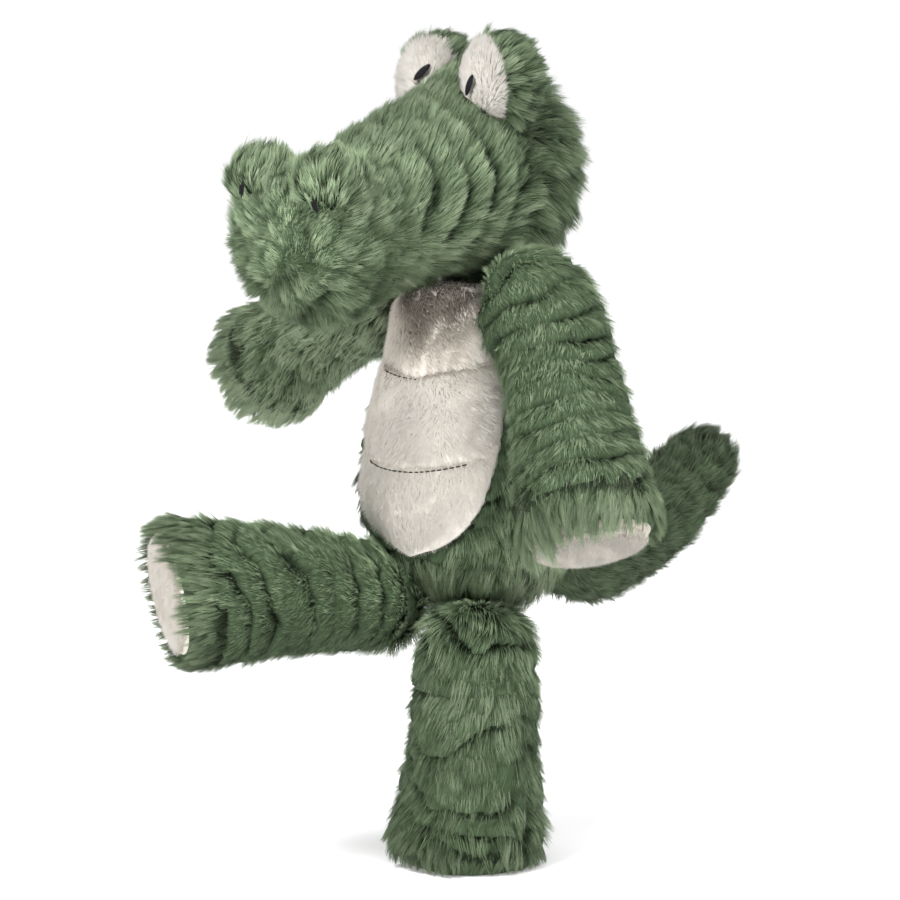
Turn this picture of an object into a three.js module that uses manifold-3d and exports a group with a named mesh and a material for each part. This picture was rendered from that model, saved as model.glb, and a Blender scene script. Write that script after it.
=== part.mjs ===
// A stuffed toy crocodile about 42 cm tall, in millimetres, +Z up, facing -Y with its left side at +X.
// It stands on its left foot, whose sole is centred on the origin, and holds its right leg out in front.
// Each stuffed member is a furry skin over a fibre filling, gathered at its root into a small sewn knot.
import * as THREE from 'three';
import { mergeVertices } from 'three/addons/utils/BufferGeometryUtils.js';
import Module from 'manifold-3d';

const wasm = await Module();
wasm.setup();

// Driving dimensions
const skinWall = 6; // backing cloth with the pressed pile
const sewnGap = 0.3; // between pieces that touch
const knotGap = 0.9; // round a sewn knot, so that a member can turn on it
const overrun = 5; // how far a cutting body runs past what it cuts
const farPast = 300; // size of a body that cuts everything on one side

const torso = {
  x: -9.5, // middle of its seat, seen from the standing sole
  y: 24.3,
  bottom: 124,
  height: 165,
  halfWidth: 60,
  halfDepth: 58,
  topForward: 14, // how far its top is ahead of its seat
};
const belly = { halfWidth: 41, belowTop: 1, aboveBottom: 33, sink: 1.5 }; // its ends from the torso's
const pelletDepth = 26; // the pellet bag's, above the torso's bottom
const neck = { knot: 15, aboveTop: 2, back: 8 };
const head = {
  aboveTop: 54, // its middle above the torso's top
  behind: 3, // its middle behind the middle of the torso's seat
  aside: 3.2, // and to the left of it
  turn: 7.3, // degrees towards the toy's right
  halfWidth: 47,
  halfHeight: 46,
  rear: 46, // from its middle to the back
  muzzle: 117, // from its middle to the middle of the muzzle
  muzzleTip: 35, // from there to the front
};
const eyeLobe = { side: 22, ahead: 11, rise: 47, halfWidth: 21, halfDepth: 20, halfHeight: 25 };
const eyeWhite = { lean: 25, inward: 18, set: 9 }; // degrees that it looks up and inward, and its seam's way forward
const pupil = { inward: 14, below: 6, halfWidth: 2.7, halfHeight: 6.2, thick: 1.6, lean: 16 };
const nostrilLobe = { side: 21, ahead: 121, rise: -4, halfWidth: 17, halfDepth: 20, halfHeight: 17 };
const nostril = { outward: 6, below: 5, halfWidth: 1.5, halfHeight: 5, thick: 1.6, lean: 12 };
const limbKnot = 6; // radius of the sewn knot of an arm, a leg or the tail

const arm = {
  radius: 37,
  shoulderSide: 33, // its knot from the torso's middle
  shoulderBelow: 7, // under the torso's top
  reach: [77, 44, -106], // from the knot to the pad of the lowered arm: out, forward and up
  turnOut: [31, 3, -1], // from the knot to where that arm's bend points
  stretch: [-125, -34, -48], // the same for the lifted arm, from its knot
  stretchBow: 9,
};
const leg = { radius: 39, hipSide: 22, hipForward: 30, hipAbove: 5, reach: [-46, 117, 14], bow: 6 };
const tail = { radius: 27, rootBack: 51, rootAbove: 32, length: 148, rise: 40, sag: 13, aside: 15 };
const padThick = 4;
const padCrown = 3; // a free pad's middle above its rim
const padDomeShare = 0.6; // a ring on the crown, as shares of the pad's radius and of the crown
const padDomeRiseShare = 0.75;
const stitch = { radius: 0.7, fromEdge: 4, droop: 7, stretches: 12 };
const stitchUpShares = { upper: 0.71, lower: 0.37 }; // up the belly panel

// Sides of the round bodies
const facets = { torso: 24, head: 22, inner: 16, limb: 18, limbInner: 14, lobe: 16, knot: 12, neck: 20, mark: 10 };

// Outlines as shares, from one end to the other
const torsoShares = [ // height, half width, half depth
  [0, 0, 0], [0.018, 0.37, 0.36], [0.06, 0.62, 0.6], [0.13, 0.82, 0.8], [0.24, 0.96, 0.95],
  [0.36, 1, 1], [0.48, 0.96, 0.97], [0.6, 0.86, 0.88], [0.73, 0.74, 0.75], [0.85, 0.61, 0.62],
  [0.94, 0.5, 0.49], [0.985, 0.31, 0.3], [1, 0, 0],
];
const headRearShares = [ // way back, half width, half height, rise of the middle
  [-1, 0, 0, 0.02], [-0.92, 0.5, 0.51, 0.01], [-0.66, 0.84, 0.83, 0], [-0.26, 0.99, 0.99, 0],
];
const headFrontShares = [ // way forward, half width, half height, rise of the middle
  [0.06, 1.02, 1.02, -0.03], [0.24, 0.98, 1, -0.12], [0.42, 0.89, 0.96, -0.24], [0.58, 0.8, 0.91, -0.37],
  [0.72, 0.75, 0.87, -0.51], [0.84, 0.8, 0.88, -0.61], [1, 0.86, 0.91, -0.66],
];
const muzzleTipShares = [ // way past the muzzle's middle, half width, half height, rise of the middle
  [0.45, 0.81, 0.84, -0.67], [0.8, 0.6, 0.62, -0.67], [0.96, 0.32, 0.33, -0.66], [1, 0, 0, -0.66],
];
const limbShares = [ // way along, radius
  [0, 0], [0.05, 0.16], [0.11, 0.38], [0.19, 0.59], [0.29, 0.73], [0.42, 0.81], [0.58, 0.87], [0.74, 0.945],
  [0.87, 1], [0.95, 1], [1, 0.95],
];
const tailShares = [
  [0, 0], [0.05, 0.3], [0.13, 0.65], [0.25, 0.9], [0.42, 1], [0.6, 1.01], [0.76, 0.97], [0.88, 0.8], [0.96, 0.5],
  [1, 0],
];
const bellyShares = [ // half width, height up the panel
  [0, 0], [0.35, 0.03], [0.68, 0.105], [0.92, 0.225], [1, 0.4], [0.95, 0.58], [0.82, 0.76], [0.67, 0.92], [0.5, 1],
];

// Colours
const green = new THREE.Color(0x66785d);
const cream = new THREE.Color(0xd6cfc4);
const white = new THREE.Color(0xe9e7e2);
const black = new THREE.Color(0x16161a);
const clothOf = (color, roughness) => new THREE.MeshStandardMaterial({ color, roughness, metalness: 0 });
const pileCloth = clothOf(green, 0.95);
const shortCloth = clothOf(cream, 0.9);
const fibre = clothOf(white, 1);
const thread = clothOf(black, 0.55);
const pelletCloth = clothOf(cream, 0.8);

const at = (x, y, z) => new THREE.Vector3(x, y, z);
const up = at(0, 0, 1);

// A closed body through rings of points. A station has a middle, two half axes and their lengths.
function loft(stations, sides) {
  const points = [];
  const faces = [];
  const rings = stations.map(({ middle, across, along, a, b }) => {
    const first = points.length / 3;
    const count = a > 0 ? sides : 1;
    for (let k = 0; k < count; k++) {
      const turn = (2 * Math.PI * k) / sides;
      const p = middle.clone();
      p.addScaledVector(across, a * Math.cos(turn));
      p.addScaledVector(along, b * Math.sin(turn));
      points.push(p.x, p.y, p.z);
    }
    return { first, count };
  });
  rings.slice(1).forEach((ring, i) => {
    const before = rings[i];
    for (let k = 0; k < sides; k++) {
      const next = (k + 1) % sides;
      const a = before.first + (before.count > 1 ? k : 0);
      const b = before.first + (before.count > 1 ? next : 0);
      const c = ring.first + (ring.count > 1 ? next : 0);
      const d = ring.first + (ring.count > 1 ? k : 0);
      if (a !== b) faces.push(a, b, c);
      if (c !== d) faces.push(a, c, d);
    }
  });
  // Rings that turn the other way about give a body inside out
  const outward = stations[1].across.clone().cross(stations[1].along);
  const onward = stations[stations.length - 1].middle.clone().sub(stations[0].middle);
  if (outward.dot(onward) < 0) faces.reverse();
  const geometry = new THREE.BufferGeometry();
  geometry.setAttribute('position', new THREE.Float32BufferAttribute(points, 3));
  geometry.setIndex(faces);
  return solid(geometry);
}

function solid(geometry) {
  const bare = geometry.clone();
  bare.deleteAttribute('normal');
  bare.deleteAttribute('uv');
  const merged = mergeVertices(bare);
  const made = new wasm.Manifold(new wasm.Mesh({
    numProp: 3,
    vertProperties: merged.attributes.position.array,
    triVerts: new Uint32Array(merged.index.array),
  }));
  return made;
}

function geometryOf(made) {
  const mesh = made.getMesh();
  const geometry = new THREE.BufferGeometry();
  geometry.setAttribute('position', new THREE.BufferAttribute(mesh.vertProperties, 3));
  geometry.setIndex(new THREE.BufferAttribute(mesh.triVerts, 1));
  geometry.computeVertexNormals();
  return geometry;
}

const ball = (centre, radius, sides) => solid(
  new THREE.SphereGeometry(radius, sides, Math.round(sides * 0.6)).translate(centre.x, centre.y, centre.z),
);

// A flat-ended block on one side of a plane through a point
function halfSpace(point, normal) {
  const block = new THREE.BoxGeometry(farPast, farPast, farPast).translate(0, 0, farPast / 2);
  block.applyQuaternion(new THREE.Quaternion().setFromUnitVectors(up, normal.clone().normalize()));
  return solid(block.translate(point.x, point.y, point.z));
}

// An ellipsoid turned by a quaternion
function lobe(centre, halfAxes, turn, sides) {
  const geometry = new THREE.SphereGeometry(1, sides, Math.round(sides * 0.6));
  geometry.scale(...halfAxes).applyQuaternion(turn).translate(centre.x, centre.y, centre.z);
  return solid(geometry);
}

// Torso
const torsoTop = torso.bottom + torso.height;
const bellyTop = torsoTop - belly.belowTop;
const bellyBottom = torso.bottom + belly.aboveBottom;
const torsoMiddle = (z) => at(torso.x, torso.y - (torso.topForward * (z - torso.bottom)) / torso.height, z);
function torsoForm(inset, sides) {
  return loft(torsoShares.map(([h, w, d]) => {
    const z = torso.bottom + inset + (torso.height - 2 * inset) * h;
    return {
      middle: torsoMiddle(z),
      across: at(1, 0, 0),
      along: at(0, 1, 0),
      a: (torso.halfWidth - inset) * w,
      b: (torso.halfDepth - inset) * d,
    };
  }), sides);
}

// The belly panel's outline as a prism that runs out of the front, drawn in by a gap
function bellyPrism(gap) {
  const shape = new THREE.Shape();
  const tall = bellyTop - bellyBottom;
  const side = bellyShares.map(([w, h]) => [
    Math.max(belly.halfWidth * w - gap, 0), THREE.MathUtils.clamp(tall * h, gap, tall - gap),
  ]);
  const outline = [...side, ...side.slice(1).reverse().map(([w, h]) => [-w, h])];
  outline.forEach(([w, h], i) => (i ? shape.lineTo(w, h) : shape.moveTo(w, h)));
  const prism = new THREE.ExtrudeGeometry(shape, { depth: torso.halfDepth + overrun, bevelEnabled: false });
  prism.rotateX(Math.PI / 2);
  return solid(prism.translate(torso.x, torso.y - torso.topForward, bellyBottom));
}

const knotCut = (centre, radius, sides = facets.knot) => ball(centre, radius + knotGap, sides);
const cutNeck = (made) => made.subtract(knotCut(neckPoint, neck.knot, facets.neck));
const neckPoint = torsoMiddle(torsoTop + neck.aboveTop).add(at(0, neck.back, 0));
const hipHeight = torso.bottom + leg.hipAbove;
const shoulders = [1, -1].map((s) => torsoMiddle(torsoTop - arm.shoulderBelow).add(at(s * arm.shoulderSide, 0, 0)));
const hips = [1, -1].map((s) => torsoMiddle(hipHeight).add(at(s * leg.hipSide, -leg.hipForward, 0)));
const tailRoot = torsoMiddle(torso.bottom + tail.rootAbove).add(at(0, tail.rootBack, 0));
const torsoRoots = [...shoulders, ...hips, tailRoot];

const cutKnots = (made) => torsoRoots.reduce(
  (rest, root) => rest.subtract(knotCut(root, limbKnot)), cutNeck(made),
);
const torsoCavity = torsoForm(skinWall, facets.inner);
const torsoSkin = cutKnots(torsoForm(0, facets.torso).subtract(torsoCavity).subtract(bellyPrism(0)));
const bellyPanel = cutKnots(
  torsoForm(belly.sink, facets.torso).subtract(torsoCavity).intersect(bellyPrism(sewnGap)),
);
const torsoCore = cutKnots(torsoForm(skinWall + sewnGap, facets.inner));
const pelletTop = torso.bottom + pelletDepth;
const torsoFilling = torsoCore.intersect(halfSpace(torsoMiddle(pelletTop + sewnGap), up));
const pelletBag = torsoCore.subtract(halfSpace(torsoMiddle(pelletTop), up));

// A row of stitches across the belly: a thread that follows the panel
function between(shares, column, share) {
  const above = Math.max(shares.findIndex((row) => row[column] > share), 1);
  const [low, high] = [shares[above - 1], shares[above]];
  return [low, high, (share - low[column]) / (high[column] - low[column])];
}

function torsoAxes(z) {
  const [low, high, t] = between(torsoShares, 0, (z - torso.bottom) / torso.height);
  const proud = sewnGap + stitch.radius - belly.sink;
  return [
    torso.halfWidth * THREE.MathUtils.lerp(low[1], high[1], t) + proud,
    torso.halfDepth * THREE.MathUtils.lerp(low[2], high[2], t) + proud,
  ];
}

function bellyStitch(upShare) {
  const path = [];
  const height = THREE.MathUtils.lerp(bellyBottom, bellyTop, upShare);
  const [low, high, t] = between(bellyShares, 1, upShare);
  const halfWidth = belly.halfWidth * THREE.MathUtils.lerp(low[0], high[0], t) - stitch.fromEdge;
  for (let k = 0; k <= stitch.stretches; k++) {
    const across = (2 * k) / stitch.stretches - 1;
    const z = height - stitch.droop * (1 - across ** 2);
    const [a, b] = torsoAxes(z);
    const x = halfWidth * across;
    path.push(torsoMiddle(z).add(at(x, -b * Math.sqrt(1 - (x / a) ** 2), 0)));
  }
  const section = new THREE.Shape().absarc(0, 0, stitch.radius, 0, 2 * Math.PI);
  return solid(new THREE.ExtrudeGeometry(section, {
    steps: 2 * stitch.stretches, curveSegments: 3, bevelEnabled: false,
    extrudePath: new THREE.CatmullRomCurve3(path),
  }));
}

// Head, in its own axes: across to the toy's left, forward, and up
const headTurn = new THREE.Quaternion().setFromAxisAngle(up, THREE.MathUtils.degToRad(-head.turn));
const headAcross = at(1, 0, 0).applyQuaternion(headTurn);
const headForward = at(0, -1, 0).applyQuaternion(headTurn);
const headMiddle = at(torso.x + head.aside, torso.y + head.behind, torsoTop + head.aboveTop);
const inHead = (side, ahead, rise) => headMiddle.clone()
  .addScaledVector(headAcross, side).addScaledVector(headForward, ahead).addScaledVector(up, rise);

function headForm(inset, sides) {
  const row = (ahead, w, h, rise) => ({
    middle: inHead(0, ahead, head.halfHeight * rise),
    across: headAcross,
    along: up,
    a: (head.halfWidth - inset) * w,
    b: (head.halfHeight - inset) * h,
  });
  return loft([
    ...headRearShares.map(([s, w, h, rise]) => row((head.rear - inset) * s, w, h, rise)),
    ...headFrontShares.map(([s, w, h, rise]) => row(head.muzzle * s, w, h, rise)),
    ...muzzleTipShares.map(([s, w, h, rise]) => row(head.muzzle + (head.muzzleTip - inset) * s, w, h, rise)),
  ], sides);
}

const headCavity = headForm(skinWall, facets.inner);
const headSolid = headForm(0, facets.head);
const headSkin = cutNeck(headSolid.subtract(headCavity));
const headFilling = cutNeck(headForm(skinWall + sewnGap, facets.inner));
const headFit = headForm(-sewnGap, facets.head);

// What leans back by some degrees and faces to one side by others, in the head's axes
function facing(lean, aside) {
  const tip = new THREE.Quaternion().setFromAxisAngle(at(1, 0, 0), THREE.MathUtils.degToRad(-lean));
  const swing = new THREE.Quaternion().setFromAxisAngle(up, THREE.MathUtils.degToRad(aside));
  return headTurn.clone().multiply(swing).multiply(tip);
}

function eye(side) {
  const centre = inHead(side * eyeLobe.side, eyeLobe.ahead, eyeLobe.rise);
  const half = [eyeLobe.halfWidth, eyeLobe.halfDepth, eyeLobe.halfHeight];
  const whole = lobe(centre, half, headTurn, facets.lobe).subtract(headFit);
  const lookOut = at(0, -1, 0).applyQuaternion(facing(eyeWhite.lean, -side * eyeWhite.inward));
  const seam = centre.clone().addScaledVector(lookOut, eyeWhite.set);
  const hood = whole.subtract(halfSpace(seam, lookOut));
  const front = whole.intersect(halfSpace(seam.clone().addScaledVector(lookOut, sewnGap), lookOut));
  const lens = markOn(centre, half, facing(-pupil.below, -side * pupil.inward), side * pupil.lean, pupil);
  const fit = lobe(centre, half.map((r) => r + sewnGap), headTurn, facets.lobe);
  return { hood, front, pupil: lens.subtract(fit) };
}

// A flat lens that lies on a lobe where its middle faces some way, leaning by some degrees
function markOn(centre, half, look, lean, { halfWidth, thick, halfHeight }) {
  const way = at(0, -1, 0).applyQuaternion(look);
  const local = way.clone().applyQuaternion(headTurn.clone().invert());
  const bulge = 1 / Math.hypot(local.x / half[0], local.y / half[1], local.z / half[2]);
  const tilt = new THREE.Quaternion().setFromAxisAngle(at(0, 1, 0), THREE.MathUtils.degToRad(lean));
  const spot = centre.clone().addScaledVector(way, bulge);
  return lobe(spot, [halfWidth, thick, halfHeight], look.clone().multiply(tilt), facets.mark);
}

function nose(side) {
  const rise = nostrilLobe.rise;
  const centre = inHead(side * nostrilLobe.side, nostrilLobe.ahead, rise);
  const half = [nostrilLobe.halfWidth, nostrilLobe.halfDepth, nostrilLobe.halfHeight];
  const bump = lobe(centre, half, headTurn, facets.lobe).subtract(headFit);
  const mark = markOn(centre, half, facing(-nostril.below, side * nostril.outward), side * nostril.lean, nostril)
    .subtract(lobe(centre, half.map((r) => r + sewnGap), headTurn, facets.lobe)).subtract(headFit);
  return { bump, mark };
}

// Limbs: rings along a curve from the knot to the pad
function ringsAlong(curve, shares, radius) {
  const chord = curve.getPointAt(1).sub(curve.getPointAt(0));
  const aside = Math.abs(chord.x) < Math.abs(chord.y) ? at(1, 0, 0) : at(0, 1, 0);
  return shares.map(([s, r]) => {
    const forward = curve.getTangentAt(s);
    const across = aside.clone().cross(forward).normalize();
    return { middle: curve.getPointAt(s), across, along: forward.clone().cross(across), a: radius * r, b: radius * r };
  });
}

const moved = (ring, way, by) => ({ ...ring, middle: ring.middle.clone().addScaledVector(way, by) });
const closed = (ring) => ({ ...ring, a: 0, b: 0 });
const widened = (ring, share) => ({ ...ring, a: ring.a * share, b: ring.b * share });

// An arm or leg: a sleeve that is open at its end, the filling in it and the pad that closes it
function limb(curve, radius, crown) {
  const root = curve.getPointAt(0);
  const way = curve.getTangentAt(1);
  const whole = ringsAlong(curve, limbShares, radius);
  const body = loft([...whole, closed(whole[whole.length - 1])], facets.limb);
  const cutKnot = (made) => made.subtract(knotCut(root, limbKnot));
  const inner = (inset) => ringsAlong(curve, limbShares, radius - inset);
  const hollowRings = inner(skinWall);
  const mouth = moved(hollowRings[hollowRings.length - 1], way, overrun);
  const hollow = loft([...hollowRings, mouth, closed(mouth)], facets.limbInner);
  const rim = inner(skinWall + sewnGap).pop();
  const fillRings = inner(skinWall + sewnGap);
  const filling = loft([...fillRings, closed(fillRings[fillRings.length - 1])], facets.limbInner)
    .subtract(halfSpace(moved(rim, way, -padThick - sewnGap).middle, way));
  const crowned = crown > 0 ? [moved(widened(rim, padDomeShare), way, crown * padDomeRiseShare)] : [];
  const pad = loft([
    closed(moved(rim, way, -padThick)), moved(rim, way, -padThick), rim, ...crowned, closed(moved(rim, way, crown)),
  ], facets.limbInner);
  return { sleeve: cutKnot(body.subtract(hollow)), filling: cutKnot(filling), pad, root };
}

// From a knot to a pad and to where the curve's bend points: out, forward and up
const beyond = (root, [out, forward, rise]) => root.clone().add(at(out, -forward, rise));
const bent = (root, pad, bend) => new THREE.QuadraticBezierCurve3(root, bend, pad);
const halfWay = (root, pad, forward, rise) => root.clone().lerp(pad, 0.5).add(at(0, -forward, rise));
const sole = at(0, 0, 0);
const stretched = beyond(shoulders[1], arm.stretch);
const lifted = beyond(hips[1], leg.reach);
const limbs = {
  arm_left: limb(
    bent(shoulders[0], beyond(shoulders[0], arm.reach), beyond(shoulders[0], arm.turnOut)), arm.radius, padCrown,
  ),
  arm_right: limb(
    bent(shoulders[1], stretched, halfWay(shoulders[1], stretched, 0, arm.stretchBow)), arm.radius, padCrown,
  ),
  leg_left: limb(bent(hips[0], sole, sole.clone().setZ(hipHeight / 2)), leg.radius, 0),
  leg_right: limb(bent(hips[1], lifted, halfWay(hips[1], lifted, leg.bow, 0)), leg.radius, padCrown),
};

// Tail: it sags behind the seat and curls up to its tip
const tailCurve = new THREE.CatmullRomCurve3([
  tailRoot,
  at(tailRoot.x + tail.aside * 0.1, tailRoot.y + tail.length * 0.28, tailRoot.z - tail.sag * 0.85),
  at(tailRoot.x + tail.aside * 0.35, tailRoot.y + tail.length * 0.58, tailRoot.z - tail.sag * 0.6),
  at(tailRoot.x + tail.aside * 0.7, tailRoot.y + tail.length * 0.84, tailRoot.z + tail.rise * 0.45),
  at(tailRoot.x + tail.aside, tailRoot.y + tail.length, tailRoot.z + tail.rise),
]);
const tailHollow = (inset) => {
  const rings = ringsAlong(tailCurve, tailShares, tail.radius - inset);
  const tip = moved(rings.pop(), tailCurve.getTangentAt(1), -inset);
  return loft([...rings.filter((ring, i) => i < rings.length - 1), tip], facets.limbInner);
};
const tailSkin = loft(ringsAlong(tailCurve, tailShares, tail.radius), facets.limb)
  .subtract(tailHollow(skinWall)).subtract(knotCut(tailRoot, limbKnot));
const tailFilling = tailHollow(skinWall + sewnGap).subtract(knotCut(tailRoot, limbKnot));

// The toy
const toy = new THREE.Group();
function add(name, made, material) {
  const mesh = new THREE.Mesh(geometryOf(made), material);
  mesh.name = name;
  toy.add(mesh);
}

add('torso_skin', torsoSkin, pileCloth);
add('belly_panel', bellyPanel, shortCloth);
add('torso_filling', torsoFilling, fibre);
add('pellet_bag', pelletBag, pelletCloth);
add('belly_stitch_upper', bellyStitch(stitchUpShares.upper), thread);
add('belly_stitch_lower', bellyStitch(stitchUpShares.lower), thread);
add('neck_knot', ball(neckPoint, neck.knot, facets.neck), pileCloth);
add('head_skin', headSkin, pileCloth);
add('head_filling', headFilling, fibre);
[['left', 1], ['right', -1]].forEach(([name, side]) => {
  const { hood, front, pupil: spot } = eye(side);
  add('eye_hood_' + name, hood, pileCloth);
  add('eye_white_' + name, front, shortCloth);
  add('pupil_' + name, spot, thread);
  const { bump, mark } = nose(side);
  add('nostril_lobe_' + name, bump, pileCloth);
  add('nostril_stitch_' + name, mark, thread);
});
Object.entries(limbs).forEach(([name, { sleeve, filling, pad, root }]) => {
  add(name + '_skin', sleeve, pileCloth);
  add(name + '_filling', filling, fibre);
  add(name + '_pad', pad, shortCloth);
  add(name + '_knot', ball(root, limbKnot, facets.knot), pileCloth);
});
add('tail_skin', tailSkin, pileCloth);
add('tail_filling', tailFilling, fibre);
add('tail_knot', ball(tailRoot, limbKnot, facets.knot), pileCloth);

export default toy;
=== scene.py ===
# A long-pile stuffed crocodile: skins, pile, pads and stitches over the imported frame.
# Sizes are in millimetres until a mesh is made.
import math
import bpy
import numpy as np
from mathutils import Vector, Matrix


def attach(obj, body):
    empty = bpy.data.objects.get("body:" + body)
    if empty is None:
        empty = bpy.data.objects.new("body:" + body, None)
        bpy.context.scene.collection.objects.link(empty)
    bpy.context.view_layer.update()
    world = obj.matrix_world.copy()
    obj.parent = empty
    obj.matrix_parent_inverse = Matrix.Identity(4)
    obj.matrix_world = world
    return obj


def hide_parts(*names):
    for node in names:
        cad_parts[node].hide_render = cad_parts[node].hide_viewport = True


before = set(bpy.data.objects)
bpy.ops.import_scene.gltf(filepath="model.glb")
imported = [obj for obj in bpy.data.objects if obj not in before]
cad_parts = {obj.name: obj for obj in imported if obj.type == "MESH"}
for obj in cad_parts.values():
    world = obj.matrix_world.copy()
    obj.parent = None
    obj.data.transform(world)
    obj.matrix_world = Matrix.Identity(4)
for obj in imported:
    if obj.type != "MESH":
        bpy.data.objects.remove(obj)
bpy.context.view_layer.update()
fewer, wider = ((1, 1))


def say(stage):
    print("stage:", stage, flush=True)


def unit(v):
    return v / np.maximum(np.linalg.norm(v, axis=-1, keepdims=True), 1e-9)


def vec(*xs):
    return np.array(xs, dtype=float)


def steady(n, v):
    return np.tile(np.asarray(v, float), (n, 1))


def climb(x, start, over, low=0, high=1):
    # from low, through 0 at start and 1 at start + over, to high
    return np.clip((x - start) / over, low, high)


# Camera, floor and light
shot = {"azimuth": 38, "elevation": 7, "away": 1700, "side": -6.5, "height": 205, "frame": 450,
        "sensor": 36}
turn, tip = math.radians(shot["azimuth"]), math.radians(shot["elevation"])
camRight = vec(math.cos(turn), math.sin(turn), 0)
camUp = vec(-math.sin(turn) * math.sin(tip), math.cos(turn) * math.sin(tip), math.cos(tip))
camBack = np.cross(camRight, camUp)
aim = camRight * shot["side"] + camUp * shot["height"]
lamps = {  # place and size in metres, watts
    "key": (camBack * 1.15 - camRight * 1.15 + vec(0, 0, 1.85), 0.8, 64),
    "fill": (camBack * 1.9 + camRight * 0.7 + vec(0, 0, 0.25), 1.6, 34),
    "top": (vec(0.1, 0.5, 2.0), 1.2, 9),
}
ground = {"size": 30, "colour": (0.86, 0.86, 0.86, 1), "glow": 0.15}


def placeCamera():
    data = bpy.data.cameras.new("camera")
    data.sensor_width = shot["sensor"]
    data.lens = shot["sensor"] * shot["away"] / shot["frame"]
    camera = bpy.data.objects.new("camera", data)
    bpy.context.collection.objects.link(camera)
    spot = (aim + camBack * shot["away"]) / 1000
    turned = Matrix([list(camRight), list(camUp), list(camBack)]).transposed().to_4x4()
    camera.matrix_world = Matrix.Translation(Vector(spot)) @ turned
    bpy.context.scene.camera = camera


def addLight(name, spot, size, watts):
    data = bpy.data.lights.new(name, "AREA")
    data.size, data.energy = size, watts
    lamp = bpy.data.objects.new(name, data)
    bpy.context.collection.objects.link(lamp)
    lamp.location = Vector(spot)
    lamp.rotation_euler = (Vector((0, 0, 0.2)) - lamp.location).to_track_quat("-Z", "Y").to_euler()


def setStudio():
    world = bpy.data.worlds.new("studio")
    bpy.context.scene.world = world
    world.use_nodes = True
    world.node_tree.nodes["Background"].inputs["Color"].default_value = (1, 1, 1, 1)
    world.node_tree.nodes["Background"].inputs["Strength"].default_value = 1.0
    for name, lamp in lamps.items():
        addLight(name, *lamp)
    bpy.context.scene.view_settings.view_transform = "Standard"
    bpy.ops.mesh.primitive_plane_add(size=ground["size"], location=(0, 0, 0))
    floor = bpy.context.object
    floor.name = "floor"
    paint, _ = newMaterial("paleFloor", 1.0, 0)
    shader = paint.node_tree.nodes["Principled BSDF"]
    shader.inputs["Base Color"].default_value = ground["colour"]
    shader.inputs["Emission Color"].default_value = (1, 1, 1, 1)
    shader.inputs["Emission Strength"].default_value = ground["glow"]
    floor.data.materials.append(paint)


# Shader maths as Python expressions
class Wire:
    def __init__(self, tree, socket=None):
        self.tree, self.socket = tree, socket

    def node(self, kind, settings=None, out=0, **sockets):
        made = self.tree.nodes.new(kind)
        for key, value in (settings or {}).items():
            if key == "stops":
                ramp = made.color_ramp
                while len(ramp.elements) < len(value):
                    ramp.elements.new(0.5)
                for element, (spot, colour) in zip(ramp.elements, value):
                    element.position, element.color = spot, (*colour, 1)
            else:
                setattr(made, key, value)
        for key, value in sockets.items():
            plain = key[1:].isdigit() and key[0] == "i"
            socket = made.inputs[int(key[1:])] if plain else made.inputs[key.replace("_", " ")]
            if isinstance(value, Wire):
                self.tree.links.new(value.socket, socket)
            else:
                socket.default_value = value
        return Wire(self.tree, made.outputs[out])

    def __add__(self, other):
        return self.node("ShaderNodeMath", {"operation": "ADD"}, i0=self, i1=other)

    def __mul__(self, other):
        return self.node("ShaderNodeMath", {"operation": "MULTIPLY"}, i0=self, i1=other)

    def mix(self, first, second):  # colours, this wire as the factor
        return self.node("ShaderNodeMix", {"data_type": "RGBA"}, out=2, i0=self, i6=first, i7=second)

    def ramp(self, stops):
        return self.node("ShaderNodeValToRGB", {"stops": stops}, Fac=self)

    def noise(self, scale, detail, roughness=0.5):
        return self.node("ShaderNodeTexNoise", Vector=self, Scale=scale, Detail=detail, Roughness=roughness)


def newMaterial(name, roughness, gloss=0.12):
    made = bpy.data.materials.new(name)
    made.use_nodes = True
    shader = made.node_tree.nodes["Principled BSDF"]
    shader.inputs["Roughness"].default_value = roughness
    shader.inputs["Specular IOR Level"].default_value = gloss
    return made, Wire(made.node_tree)


def finish(made, colour, height=None, strength=0.0, distance=0.0):
    # the colour and, where a height is given, its bump go into the material's shader
    shader, links = made.node_tree.nodes["Principled BSDF"], made.node_tree.links
    links.new(colour.socket, shader.inputs["Base Color"])
    if height is not None:
        lift = height.node("ShaderNodeBump", Height=height, Strength=strength, Distance=distance)
        links.new(lift.socket, shader.inputs["Normal"])
    return made


def pileMaterial(name, shades, roughness=0.85):
    # v runs from a hair's root to its tip and u is the hair's own tone
    made, wire = newMaterial(name, roughness)
    uv = wire.node("ShaderNodeUVMap", {"uv_map": "OFBake"})
    tone = uv.node("ShaderNodeSeparateXYZ", Vector=uv)
    along = Wire(wire.tree, tone.socket.node.outputs[1])
    darkest = tuple(0.45 * a + 0.1 * b for a, b in zip(shades["dull"], shades["bright"]))
    tint = tone.ramp([(0.0, darkest), (0.3, shades["dull"]), (0.65, shades["bright"]), (1.0, shades["pale"])])
    rise = along.ramp([(0.0, (0, 0, 0)), (0.4, (0.6, 0.6, 0.6)), (0.85, (1, 1, 1))])
    tip = along.ramp([(0.55, (0, 0, 0)), (1.0, (0.45, 0.45, 0.45))])
    colour = tip.mix(rise.mix((*shades["root"], 1), tint), (*shades["pale"], 1))
    if "deep" in shades:  # painted shadow: the darkest tones end in this dark colour over the hair's whole length
        colour = tone.ramp([(0.0, (0, 0, 0)), (0.5, (1, 1, 1))]).mix((*shades["deep"], 1), colour)
    return finish(made, colour)


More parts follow.
